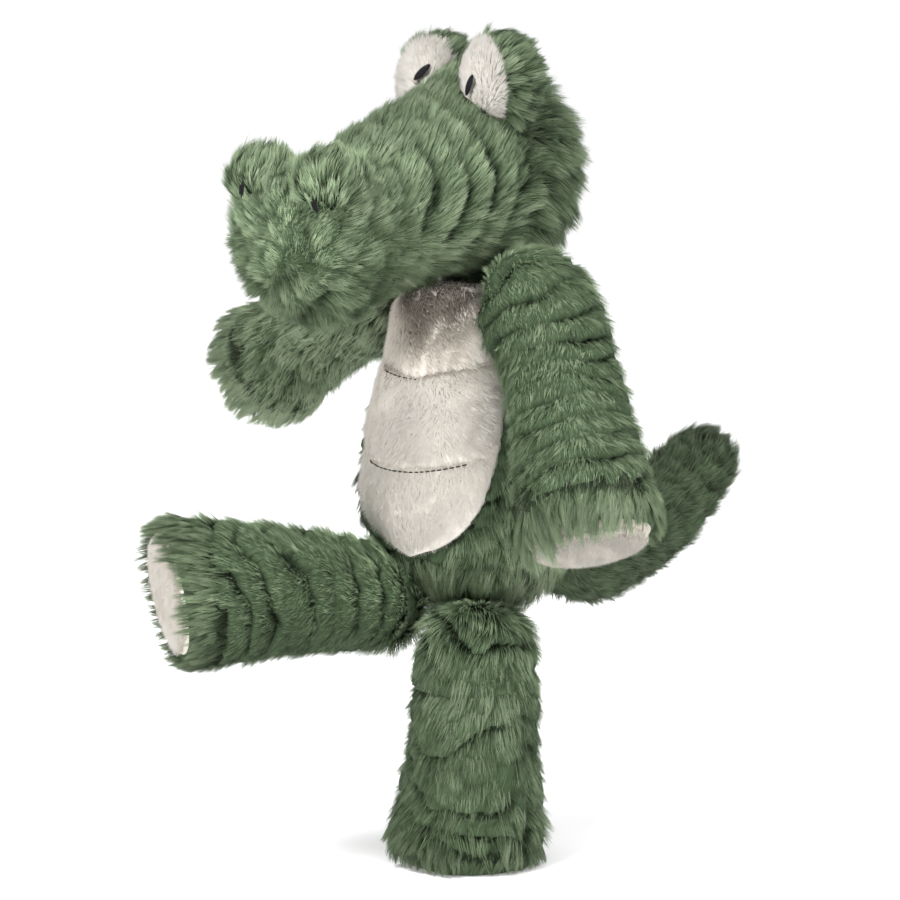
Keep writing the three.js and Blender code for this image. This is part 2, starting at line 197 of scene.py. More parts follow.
def clothMaterial(name, low, high, size, bump):
    made, wire = newMaterial(name, 0.9)
    place = wire.node("ShaderNodeTexCoord", out=3)
    fine = place.noise(size, 4.0, 0.7)
    blend = place.noise(22.0, 3.0) * 0.5 + fine * 0.5
    return finish(made, blend.ramp([(0.32, low), (0.68, high)]), fine, bump, 0.0015)


def combedMaterial(name, shades):
    # streaks along the lay, with painted shade where the rows part: the partings take the near-black root
    # colour
    made, wire = newMaterial(name, 0.85)
    comb = wire.node("ShaderNodeUVMap", {"uv_map": "comb"})
    row = wire.node("ShaderNodeAttribute", {"attribute_name": "row"}, out=2)
    stretched = comb.node("ShaderNodeVectorMath", {"operation": "MULTIPLY"}, i0=comb, i1=(1500.0, 95.0, 1.0))
    streak = stretched.noise(1.0, 3.0, 0.65)
    colour = streak.ramp([(0.3, shades["low"]), (0.7, shades["high"])])
    colour = row.ramp([(0.0, (0, 0, 0)), (1.0, (1, 1, 1))]).mix((*shades["root"], 1), colour)
    return finish(made, colour, streak, 0.9, 0.001)


def threadMaterial(name, low, high, twist):
    made, wire = newMaterial(name, 0.55, 0.08)
    place = wire.node("ShaderNodeTexCoord", out=3)
    wave = place.node("ShaderNodeTexWave", {"bands_direction": "DIAGONAL"}, Vector=place, Scale=twist,
                      Distortion=1.5, Detail=2.0)
    return finish(made, wave.ramp([(0.1, low), (0.9, high)]), wave, 0.7, 0.0004)


# painted shade: the near-black root and low stand for the shade deep in the pile, at each hair's base, on the
# backing between hairs and in the partings
greens = {
    "root": (0.009, 0.015, 0.007), "dull": (0.082, 0.124, 0.064), "bright": (0.190, 0.268, 0.150),
    "pale": (0.390, 0.480, 0.310), "low": (0.020, 0.034, 0.016), "high": (0.080, 0.120, 0.064),
}
creams = {
    "root": (0.740, 0.680, 0.600), "dull": (0.640, 0.590, 0.520), "bright": (0.850, 0.800, 0.730),
    "pale": (0.930, 0.890, 0.830), "low": (0.820, 0.760, 0.690), "high": (0.900, 0.860, 0.800),
}
# deep is the colour of the painted shadow under the chin
bellyCreams = {**creams, "dull": (0.640, 0.560, 0.475), "bright": (0.870, 0.815, 0.740),
               "deep": (0.072, 0.058, 0.040)}
# painted shade: the eyes' cream is a darker copy of the belly's cream, holding back the light that falls on
# the eyes
shadedEyeCreams = {
    "root": (0.44, 0.41, 0.36), "dull": (0.43, 0.405, 0.36), "bright": (0.51, 0.485, 0.445),
    "pale": (0.58, 0.56, 0.525), "low": (0.43, 0.405, 0.36), "high": (0.50, 0.475, 0.43),
}
materials = {
    "pile": pileMaterial("greenPile", greens, 0.8),
    "skin": combedMaterial("greenBacking", greens),
    "knot": clothMaterial("greenKnot", greens["root"], greens["low"], 900, 0.8),
    "creamPile": pileMaterial("creamPile", creams),
    "bellyPile": pileMaterial("bellyPile", bellyCreams),
    "eyePile": pileMaterial("eyePile", shadedEyeCreams),
    "eyeCloth": clothMaterial("eyeBacking", shadedEyeCreams["low"], shadedEyeCreams["high"], 1100, 0.4),
    "cream": clothMaterial("creamBacking", creams["low"], creams["high"], 1100, 0.5),
    # painted shade: a darker copy of the cream cloth for the pads that face down
    "shadedPad": clothMaterial("shadedPadBacking", (0.46, 0.41, 0.36), (0.60, 0.55, 0.49), 1100, 0.5),
    "fibre": clothMaterial("fibreFilling", (0.70, 0.69, 0.67), (0.86, 0.85, 0.83), 500, 0.6),
    "black": threadMaterial("blackFloss", (0.004, 0.004, 0.005), (0.022, 0.022, 0.026), 900),
    "stitch": threadMaterial("beltStitch", (0.020, 0.016, 0.014), (0.055, 0.046, 0.040), 1400),
}


# Smooth profiles and forms
def curve(knots, values, slope, x):
    k = np.clip(np.searchsorted(knots, x, side="right") - 1, 0, len(knots) - 2)
    gap = knots[k + 1] - knots[k]
    t = np.clip((x - knots[k]) / gap, 0, 1)
    h00, h10 = 2 * t**3 - 3 * t**2 + 1, t**3 - 2 * t**2 + t
    early = h00 * values[k] + h10 * gap * slope[k]
    return early + (1 - h00) * values[k + 1] + (t**3 - t**2) * gap * slope[k + 1]


def glide(knots, values, x):
    # through every knot without passing beyond it
    knots, values, x = (np.asarray(part, float) for part in (knots, values, x))
    rise = np.diff(values) / np.diff(knots)
    both = rise[:-1] * rise[1:]
    inner = np.where(both > 0, 2 * both / np.where(both > 0, rise[:-1] + rise[1:], 1), 0)
    return curve(knots, values, np.concatenate([[rise[0]], inner, [rise[-1]]]), x)


def ripple(points, size, seed, waves=7):
    # a soft random field from about -1 to 1 with lumps of about this size
    roll = np.random.default_rng(seed)
    ways = unit(roll.normal(size=(waves, 3))) * (math.tau / (2.2 * size)) * roll.uniform(0.7, 1.4, (waves, 1))
    return np.cos(points @ ways.T + roll.uniform(0, math.tau, waves)).sum(axis=1) / math.sqrt(waves * 1.2)


def ripples(points, size, seed):
    return np.stack([ripple(points, size, seed + k) for k in range(3)], 1)


class Form:
    # Rings along a path: where each stands, its two half axes and their lengths
    slant = None  # how the last rings lean: which way is far out, and its two sides' reach past the end
    closed = (True, True)
    padded = False  # whether a pad closes its far end

    def __init__(self, centres, across, along, a, b):
        self.table = np.column_stack([centres, across, along, a, b])
        self.length = np.linalg.norm(np.diff(centres, axis=0), axis=1).sum()

    def row(self, s):
        s = np.clip(s, 0, 1) * (len(self.table) - 1)
        k = np.minimum(s.astype(int), len(self.table) - 2)
        return self.table[k] * (1 - (s - k))[:, None] + self.table[k + 1] * (s - k)[:, None]

    def point(self, s, t, under=0.0):
        r = self.row(s)
        thick = 0.8 * self.table[:, 9:11].max()
        a, b = ((r[:, k] - under * np.minimum(1, r[:, k] / thick))[:, None] for k in (9, 10))
        spoke = r[:, 3:6] * np.cos(t)[:, None] + r[:, 6:9] * np.sin(t)[:, None]
        place = r[:, 0:3] + r[:, 3:6] * a * np.cos(t)[:, None] + r[:, 6:9] * b * np.sin(t)[:, None]
        for closed, end, inner in ((self.closed[0], 0, 12), (self.closed[1], -1, -13)):
            if closed and under:
                inward = unit(self.table[inner, 0:3] - self.table[end, 0:3])
                far = np.linalg.norm(r[:, 0:3] - self.table[end, 0:3], axis=1)
                place = place + inward * (under * np.clip(1 - far / thick, 0, 1))[:, None]
        return place + self.lean(s, spoke)

    def lean(self, s, spoke):
        # how far the slant moves each place along the form
        if self.slant is None:
            return 0 * spoke
        toward, near, far = self.slant
        way = unit(self.table[-1, 0:3] - self.table[-8, 0:3])
        side = spoke @ toward / np.linalg.norm(toward - way * (toward @ way))
        late = climb(s, 0.6, 0.4) ** 2
        return way * (late * ((near + far) / 2 + (near - far) / 2 * side))[:, None]

    def frame(self, s, t, under=0.0):
        # place, outward normal and the unit way along s
        ds, dt = 0.004, 0.02
        sLow, sHigh = np.clip(s - ds, 0, 1), np.clip(s + ds, 0, 1)
        ahead = self.point(sHigh, t, under) - self.point(sLow, t, under)
        around = self.point(s, t + dt, under) - self.point(s, t - dt, under)
        out = np.cross(ahead, around)
        place = self.point(s, t, under)
        fromMiddle = place - (place + self.point(s, t + math.pi, under)) / 2
        tiny = np.linalg.norm(out, axis=1) < 1e-7
        out[tiny] = ahead[tiny]
        out = unit(out)
        out[np.einsum("ij,ij->i", out, fromMiddle) < 0] *= -1
        return place, out, unit(ahead)

    def holds(self, points, grown):
        # which points lie inside, in portions that fit in memory
        rows = self.row(np.linspace(0, 1, 60))
        found = [np.zeros(0, bool)]
        for first in range(0, len(points), 20000):
            part = points[first:first + 20000]
            near = ((part[:, None, :] - rows[None, :, 0:3]) ** 2).sum(axis=2).argmin(axis=1)
            ring = rows[near]
            off = part - ring[:, 0:3]
            x = np.einsum("ij,ij->i", off, ring[:, 3:6]) / np.maximum(ring[:, 9] + grown, 0.1)
            y = np.einsum("ij,ij->i", off, ring[:, 6:9]) / np.maximum(ring[:, 10] + grown, 0.1)
            found.append(x * x + y * y < 1)
        return np.concatenate(found)


torso = {"x": -9.5, "y": 24.3, "bottom": 124, "height": 165, "halfWidth": 60, "halfDepth": 58,
         "forward": 14}
torsoRows = np.array([  # share of the height, of the half width and of the half depth
    [0, 0, 0], [0.018, 0.37, 0.36], [0.06, 0.62, 0.6], [0.13, 0.82, 0.8], [0.24, 0.96, 0.95], [0.36, 1, 1],
    [0.48, 0.96, 0.97], [0.6, 0.87, 0.89], [0.73, 0.77, 0.77], [0.85, 0.67, 0.66], [0.94, 0.6, 0.58],
    [0.985, 0.46, 0.44], [1, 0, 0],
])


def torsoMiddle(z):
    z = np.asarray(z, float)
    y = torso["y"] - torso["forward"] * (z - torso["bottom"]) / torso["height"]
    return np.stack([np.full_like(z, torso["x"]), y, z], axis=-1)


def makeTorso():
    s = np.linspace(0, 1, 300)
    z = torso["bottom"] + torso["height"] * s
    wide, deep = (glide(torsoRows[:, 0], torsoRows[:, k], s) for k in (1, 2))
    return Form(torsoMiddle(z), steady(300, (1, 0, 0)), steady(300, (0, 1, 0)),
                torso["halfWidth"] * wide, torso["halfDepth"] * deep)


head = {"height": 343, "behind": 3, "aside": 3.2, "turn": 7.3, "halfWidth": 47, "halfHeight": 46}
headRows = np.array([  # way ahead, half width, half height, rise of the middle
    [-43, 0, 0, 0.02], [-41.8, 0.27, 0.35, 0.02], [-39.3, 0.55, 0.7, 0.02], [-29, 0.86, 0.97, 0.01],
    [-12, 0.99, 1.03, 0], [7, 1.02, 1.02, -0.03], [28.1, 0.98, 1, -0.12], [49.1, 0.89, 0.96, -0.24],
    [67.9, 0.8, 0.91, -0.37], [82, 0.74, 0.84, -0.5], [98.3, 0.84, 0.89, -0.6], [117, 0.92, 0.92, -0.65],
    [132.8, 0.86, 0.81, -0.61], [145, 0.62, 0.59, -0.54], [150.6, 0.32, 0.31, -0.5], [152, 0, 0, -0.49],
])
yaw = math.radians(-head["turn"])
headAcross = vec(math.cos(yaw), math.sin(yaw), 0)
headAhead = vec(math.sin(yaw), -math.cos(yaw), 0)
headMiddle = vec(torso["x"] + head["aside"], torso["y"] + head["behind"], head["height"])


def inHead(side, ahead, rise):
    return headMiddle + headAcross * side + headAhead * ahead + vec(0, 0, 1) * rise


def makeHead():
    ahead = np.linspace(headRows[0, 0], headRows[-1, 0], 400)
    wide, high, rise = (glide(headRows[:, 0], headRows[:, k], ahead) for k in (1, 2, 3))
    centres = headMiddle + ahead[:, None] * headAhead + (head["halfHeight"] * rise)[:, None] * vec(0, 0, 1)
    return Form(centres, steady(400, headAcross), steady(400, (0, 0, 1)),
                head["halfWidth"] * wide, head["halfHeight"] * high)


ridgeRows = np.array([  # the bridge between the eyes: way ahead, top, half width, half height
    [-14, 48, 4, 8], [-7, 59, 9, 14], [3, 63, 10, 19], [11, 60.5, 10, 20], [21, 54, 10, 20],
    [32, 48, 12, 21], [44, 42.5, 16, 21], [56, 37.5, 19, 20], [68, 32, 21, 18], [81, 24, 21, 14],
    [95, 15, 17, 9], [104, 8, 6, 4],
])


def makeRidge():
    ahead = np.linspace(ridgeRows[0, 0], ridgeRows[-1, 0], 200)
    high, wide, deep = (glide(ridgeRows[:, 0], ridgeRows[:, k], ahead) for k in (1, 2, 3))
    centres = headMiddle + ahead[:, None] * headAhead + (high - deep)[:, None] * vec(0, 0, 1)
    return Form(centres, steady(200, headAcross), steady(200, (0, 0, 1)), wide, deep)


def evenly(path, n=300):
    run = np.concatenate([[0], np.cumsum(np.linalg.norm(np.diff(path, axis=0), axis=1))])
    even = np.linspace(0, run[-1], n)
    return np.column_stack([np.interp(even, run, path[:, k]) for k in range(3)])


def bentPath(start, bend, end):
    s = np.linspace(0, 1, 1200)[:, None]
    return evenly((1 - s) ** 2 * start + 2 * s * (1 - s) * bend + s**2 * end)


def tube(path, shares, radius):
    way = unit(np.gradient(path, axis=0))
    chord = path[-1] - path[0]
    aside = vec(1, 0, 0) if abs(chord[0]) < abs(chord[1]) else vec(0, 1, 0)
    across = unit(np.cross(steady(len(path), aside), way))
    size = radius * glide(*np.array(shares).T, np.linspace(0, 1, len(path)))
    return Form(path, across, np.cross(way, across), size, size)


# share of a member's length and of its radius
armRows = [[0, 0], [0.02, 0.55], [0.06, 0.8], [0.12, 0.88], [0.2, 0.87], [0.3, 0.84], [0.42, 0.82],
           [0.58, 0.85], [0.74, 0.92], [0.87, 0.98], [0.95, 0.99], [1, 0.95]]
legRows = [[0, 0], [0.02, 0.35], [0.06, 0.6], [0.12, 0.76], [0.2, 0.84], [0.3, 0.87], [0.42, 0.89],
           [0.58, 0.92], [0.74, 0.99], [0.87, 1.06], [0.95, 1.05], [1, 0.97]]
strideRows = [[0, 0], [0.02, 0.3], [0.06, 0.52], [0.12, 0.66], [0.2, 0.74], [0.3, 0.79], [0.42, 0.83],
              [0.58, 0.88], [0.74, 0.94], [0.87, 0.99], [0.95, 1.0], [1, 0.96]]
tailRows = [[0, 0], [0.02, 0.4], [0.06, 0.7], [0.13, 0.94], [0.25, 1.05], [0.42, 1.02], [0.6, 0.95],
            [0.76, 0.92], [0.88, 0.8], [0.95, 0.58], [0.985, 0.33], [1, 0]]
roots = {
    "armLeft": torsoMiddle(282) + vec(33, 0, 0), "armRight": torsoMiddle(282) - vec(33, 0, 0),
    "legLeft": torsoMiddle(129) + vec(22, -30, 0), "legRight": torsoMiddle(129) + vec(-22, -30, 0),
    "tail": torsoMiddle(156) + vec(0, 51, 0),
}
radii = {"armLeft": 37, "armRight": 34.5, "leg": 39, "tail": 27}


def makeLimbs():
    a, b, hip, c = (roots[name] for name in ("armLeft", "armRight", "legLeft", "legRight"))
    hand, foot = b + vec(-125, 34, -48), c + vec(-46, -117, 14)
    standing = bentPath(hip, vec(6, 4.5, 64.5), vec(0, 0, 0))
    made = {
        "armLeft": tube(bentPath(a, a + vec(28, -3, 6), a + vec(77, -44, -106)), armRows, radii["armLeft"]),
        "armRight": tube(bentPath(b, (b + hand) / 2 + vec(0, 0, 9), hand), armRows, radii["armRight"]),
        "legLeft": tube(standing, legRows, radii["leg"]),
        "legRight": tube(bentPath(c, (c + foot) / 2 + vec(0, -6, 7), foot), strideRows, radii["leg"]),
    }
    for form in made.values():
        form.closed = (False, False)
        form.padded = True
    made["legRight"].slant = (unit(camBack * 0.8 + vec(0, 0, 0.6)), 14, -3)
    made["armLeft"].slant = (unit(camBack * 0.9 + vec(0, 0, 0.3) - camRight * 0.4), 4, -2)
    return made


# the tail's path from its root
tailKnots = vec([0, 0, 0], [1.5, 41.4, -14], [5.2, 85.8, -6], [10.5, 124.3, 18], [15, 149, 37])


def makeTail():
    knots = roots["tail"] + tailKnots
    spots, u = np.linspace(0, 1, 5), np.linspace(0, 1, 500)
    path = np.column_stack([curve(spots, knots[:, k], np.gradient(knots[:, k], spots), u) for k in range(3)])
    made = tube(evenly(path), tailRows, radii["tail"])
    made.closed = (False, True)
    return made


def reachOf(way, half):
    # how far a lobe's surface is from its middle along a unit way
    return 1 / np.linalg.norm(vec(way @ headAcross / half[0], way @ headAhead / half[1], way[2] / half[2]))


def lookWay(side, inward, lean):
    swing = yaw - side * math.radians(inward)
    level = vec(math.sin(swing), -math.cos(swing), 0)
    return level * math.cos(math.radians(lean)) + vec(0, 0, 1) * math.sin(math.radians(lean))


def lobeMiddle(lobe, side):
    return inHead(side * lobe["side"], lobe["ahead"], lobe["rise"])


def lobeForm(lobe, side, n=120):
    # an ellipsoid whose poles lie ahead and behind: s is 0 at the front
    look = unit(lookWay(side, lobe["inward"], lobe["lean"]))
    across = unit(np.cross(vec(0, 0, 1), look))
    upward = np.cross(look, across)
    turnBy = np.linspace(0, math.pi, n)
    far, wide, high = (reachOf(way, lobe["half"]) for way in (look, across, upward))
    centres = lobeMiddle(lobe, side) + look * (np.cos(turnBy) * far)[:, None]
    return Form(centres, steady(n, across), steady(n, upward), np.sin(turnBy) * wide, np.sin(turnBy) * high)


chin = inHead(6, 150, -46)  # where the muzzle's pile starts from
eye = {"side": 22, "ahead": 11, "rise": 42.5, "half": (20.5, 20.5, 27.5), "lean": -4, "inward": 18,
       "seam": 0.365}
nostril = {"side": 23, "ahead": 126, "rise": -2, "half": (18, 20, 18), "lean": 12, "inward": -6}
torsoForm, headForm, ridgeForm = makeTorso(), makeHead(), makeRidge()
tailForm, limbForms = makeTail(), makeLimbs()
eyeForms, noseForms = ({side: lobeForm(lobe, side) for side in (1, -1)} for lobe in (eye, nostril))
sideNames = {1: "left", -1: "right"}
say("forms")


# Meshes
def makeMesh(name, points, faces, material, body, uv=None, comb=None, row=None):
    mesh = bpy.data.meshes.new(name)
    points, faces = np.asarray(points, np.float32) / 1000, np.asarray(faces, np.int32)
    mesh.vertices.add(len(points))
    mesh.vertices.foreach_set("co", points.ravel())
    mesh.loops.add(faces.size)
    mesh.loops.foreach_set("vertex_index", faces.ravel())
    mesh.polygons.add(len(faces))
    mesh.polygons.foreach_set("loop_start", np.arange(0, faces.size, 3, dtype=np.int32))
    mesh.update(calc_edges=True)
    mesh.validate()
    mesh.polygons.foreach_set("use_smooth", np.full(len(mesh.polygons), True))
    if uv is not None:
        mesh.uv_layers.new(name="OFBake").uv.foreach_set("vector", np.asarray(uv, np.float32).ravel())
    if comb is not None:
        lay = np.asarray(comb[faces.ravel()] / 1000, np.float32)
        mesh.uv_layers.new(name="comb").uv.foreach_set("vector", lay.ravel())
        mesh.attributes.new("row", "FLOAT", "POINT").data.foreach_set("value", np.asarray(row, np.float32))
    mesh.materials.append(materials[material])
    piece = bpy.data.objects.new(name, mesh)
    bpy.context.collection.objects.link(piece)
    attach(piece, body)
    return piece


def quads(a, b, c, d):
    return np.vstack([np.stack([a, b, c], -1).reshape(-1, 3), np.stack([a, c, d], -1).reshape(-1, 3)])


def fan(ring, after, tip):
    return np.stack([ring, after, np.full(len(ring), tip)], -1)


def rings(count, sides):
    # the numbers of the points on each ring, and of the next point round
    k = np.arange(count * sides).reshape(count, sides)
    return k, np.roll(k, -1, axis=1)


def ringPlaces(s, sides):
    # each ring's own value and the turn of each of its points
    return np.repeat(s, sides), np.tile(np.arange(sides) * math.tau / sides, len(s))


def tubeFaces(count, sides):
    # a closed tube, whose two end points come after its rings
    k, after = rings(count, sides)
    body = quads(k[:-1], after[:-1], after[1:], k[1:])
    return np.vstack([body, fan(after[0], k[0], k.size), fan(k[-1], after[-1], k.size + 1)])


def outward(points, tris):
    corner = points[tris] - points.mean(axis=0)
    volume = np.einsum("ij,ij->i", corner[:, 0], np.cross(corner[:, 1], corner[:, 2])).sum()
    return tris[:, ::-1] if volume < 0 else tris


def skinMesh(name, form, under, relief, body, nodes, count=104, sides=84, material="skin"):
    # a closed skin: rings between two poles, raised by its relief along the normal
    s = np.linspace(0, 1, count + 2)[1:-1]
    s = 0.5 - 0.5 * np.cos(s * math.pi) if form is headForm or form is torsoForm else s
    ss, tt = ringPlaces(s, sides)
    place, out, _ = form.frame(ss, tt, under)
    high, row = relief(ss, tt, place, out)
    place = place + out * high[:, None]
    hoops = place.reshape(count, sides, 3)
    ends = np.stack([hoops[k].mean(axis=0) if form.closed[k] else form.table[k, 0:3] for k in (0, -1)])
    ends[1] += form.lean(np.ones(1), np.zeros((1, 3)))[0]
    if form.padded:  # the cap lies behind the pad's cloth
        ends[1] -= unit(form.table[-1, 0:3] - form.table[-9, 0:3]) * 6
    points = np.vstack([place, ends])
    if form is limbForms["legLeft"]:
        points[:, 2] = np.maximum(points[:, 2], 0.4)
    around = np.abs(np.mod(tt + math.pi, math.tau) - math.pi) * np.maximum(form.row(ss)[:, 9], 12)
    comb = np.stack([around, ss * form.length], 1)
    comb = np.vstack([comb, comb[[0, -1]]])
    faces = outward(points, tubeFaces(count, sides))
    skin = makeMesh(name, points, faces, material, body, comb=comb, row=np.concatenate([row, [1, 1]]))
    if nodes:
        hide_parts(*nodes)


def scatter(form, count, seed, sRange, keep):
    # even spots over a form's surface
    roll = np.random.default_rng(seed)
    nS, nT = 160, 90
    s = sRange[0] + (np.arange(nS) + 0.5) / nS * (sRange[1] - sRange[0])
    t = (np.arange(nT) + 0.5) / nT * math.tau
    ss, tt = np.repeat(s, nT), np.tile(t, nS)
    h = (sRange[1] - sRange[0]) / nS / 2
    up = form.point(np.clip(ss + h, 0, 1), tt) - form.point(np.clip(ss - h, 0, 1), tt)
    side = form.point(ss, tt + math.pi / nT) - form.point(ss, tt - math.pi / nT)
    area = np.linalg.norm(np.cross(up, side), axis=1)
    if keep is not None:
        area = area * keep(ss, tt)
    pick = roll.choice(len(area), size=count, p=area / area.sum())
    s = (ss[pick] + roll.uniform(-h, h, count)).clip(0, 1)
    return s, tt[pick] + roll.uniform(-1, 1, count) * math.pi / nT, roll


def spikes(name, good, start, tips, out, width, tone, material, body):
    # one closed three-sided hair for each good root and tip
    start, tips, out = start[good], tips[good], out[good]
    w, tone = (width[good] * wider)[:, None], tone[good].clip(0.01, 0.985)
    way = unit(tips - start)
    side = unit(np.cross(way, out))
    rise = np.cross(side, way)
    corners = [start + side * w * 0.5, start - side * w * 0.5, start - rise * w * 0.45]
    points = np.stack([*corners, tips], axis=1).reshape(-1, 3)
    pattern = np.array([[0, 1, 3], [1, 2, 3], [2, 0, 3], [0, 2, 1]])
    p = points[:4]
    if np.dot(np.cross(p[1] - p[0], p[3] - p[0]), p[0] + p[1] + p[3] - 3 * p.mean(axis=0)) < 0:
        pattern = pattern[:, ::-1]
    faces = ((np.arange(len(tips)) * 4)[:, None, None] + pattern).reshape(-1, 3)
    columns = 64
    left = np.floor(tone * columns) / columns
    x = np.array([0.08, 0.92, 0.5, 0.5]) / columns
    y = np.array([0.02, 0.02, 0.02, 0.98])
    u = left[:, None, None] + x[pattern][None]
    v = np.broadcast_to(y[pattern][None], u.shape)
    makeMesh(name, points, faces, material, body, np.stack([u, v], -1).reshape(-1, 2))


def scramble(cell, salt):
    h = cell[:, 0] * 374761393 + cell[:, 1] * 668265263 + cell[:, 2] * 951274213 + salt * 1274126177
    h = h & 0xFFFFFFFF
    h = ((h ^ (h >> 13)) * 1274126177) & 0xFFFFFFFF
    return (h ^ (h >> 16)) / 4294967296.0


def cells(points, size, seed):
    # nearest and second nearest of scattered seeds, and which seed is nearest
    q = points / size
    base = np.floor(q).astype(np.int64)
    first, second, key = np.full(len(q), 9.0), np.full(len(q), 9.0), np.zeros(len(q), np.int64)
    for step in np.ndindex(3, 3, 3):
        cell = base + (np.array(step) - 1)
        spot = cell + np.stack([scramble(cell, seed + k) for k in range(3)], 1)
        d = np.linalg.norm(q - spot, axis=1)
        nearer = d < first
        second = np.where(nearer, first, np.minimum(second, d))
        name = (cell[:, 0] * 73856093) ^ (cell[:, 1] * 19349663) ^ (cell[:, 2] * 83492791)
        key, first = np.where(nearer, name, key), np.where(nearer, d, first)
    return first * size, second * size, key


def clumps(points, size, seed):
    # which tuft each hair belongs to
    return np.unique(cells(points, size, seed)[2], return_inverse=True)[1]


def shared(roll, group):
    # a draw that all the hairs of one group share
    return roll.normal(size=group.max() + 1)[group]


def meansOf(points, group):
    number = np.maximum(np.bincount(group), 1)
    return (np.stack([np.bincount(group, points[:, k]) for k in range(3)], 1) / number[:, None])[group]


def drawn(points, group, share):
    return points + (meansOf(points, group) - points) * share


def rowShape(form, s, place, pile):
    # how far along its row a place is, and how full its pile stands: 1 on a crown, 0 in a parting or hollow
    seed = pile["seed"]
    fray = 0.24 * ripple(place, 15, seed + 4) + 0.07 * ripple(place, 5, seed + 5)
    wobble = pile["wander"] * ripple(place, 34, seed + 3) + pile["fray"] * fray
    q = np.mod(form.length * s * pile["sign"] / pile["pitch"] + wobble, 1.0)
    strength = np.clip(1.0 + 0.6 * ripple(place, 20, seed + 6), 0.4, 1) * pile["rows"]
    crown = np.clip(q / pile["parting"], 0, 1)
    crown = crown * crown * (3 - 2 * crown) * (0.9 + 0.1 * q)
    if "brink" in pile:
        fallen = np.clip((1 - q) / pile["brink"], 0, 1)
        crown = crown * fallen * (2 - fallen)
    full = 1 - np.minimum(strength, 1) * (1 - crown)
    if pile["hollow"] > 0:
        near, far, _ = cells(place, pile["hollowSize"], seed + 40)
        rim = np.clip((far - near) / (0.42 * pile["hollowSize"]), 0, 1)
        full = full * (1 - pile["hollow"] * (1 - rim * (2 - rim)))
    return q, full, strength


def pileHeight(pile, crown, place):
    lumps = pile["lump"] * ripple(place, pile["lumpSize"], pile["seed"] + 30)
    return pile["pile"] * (1 - (1 - crown) * pile["dip"]) + lumps


def nearPad(s):
    # 1 on the last stretch before a member's end, where its rows have run out
    return climb(s, 0.9, 0.03)


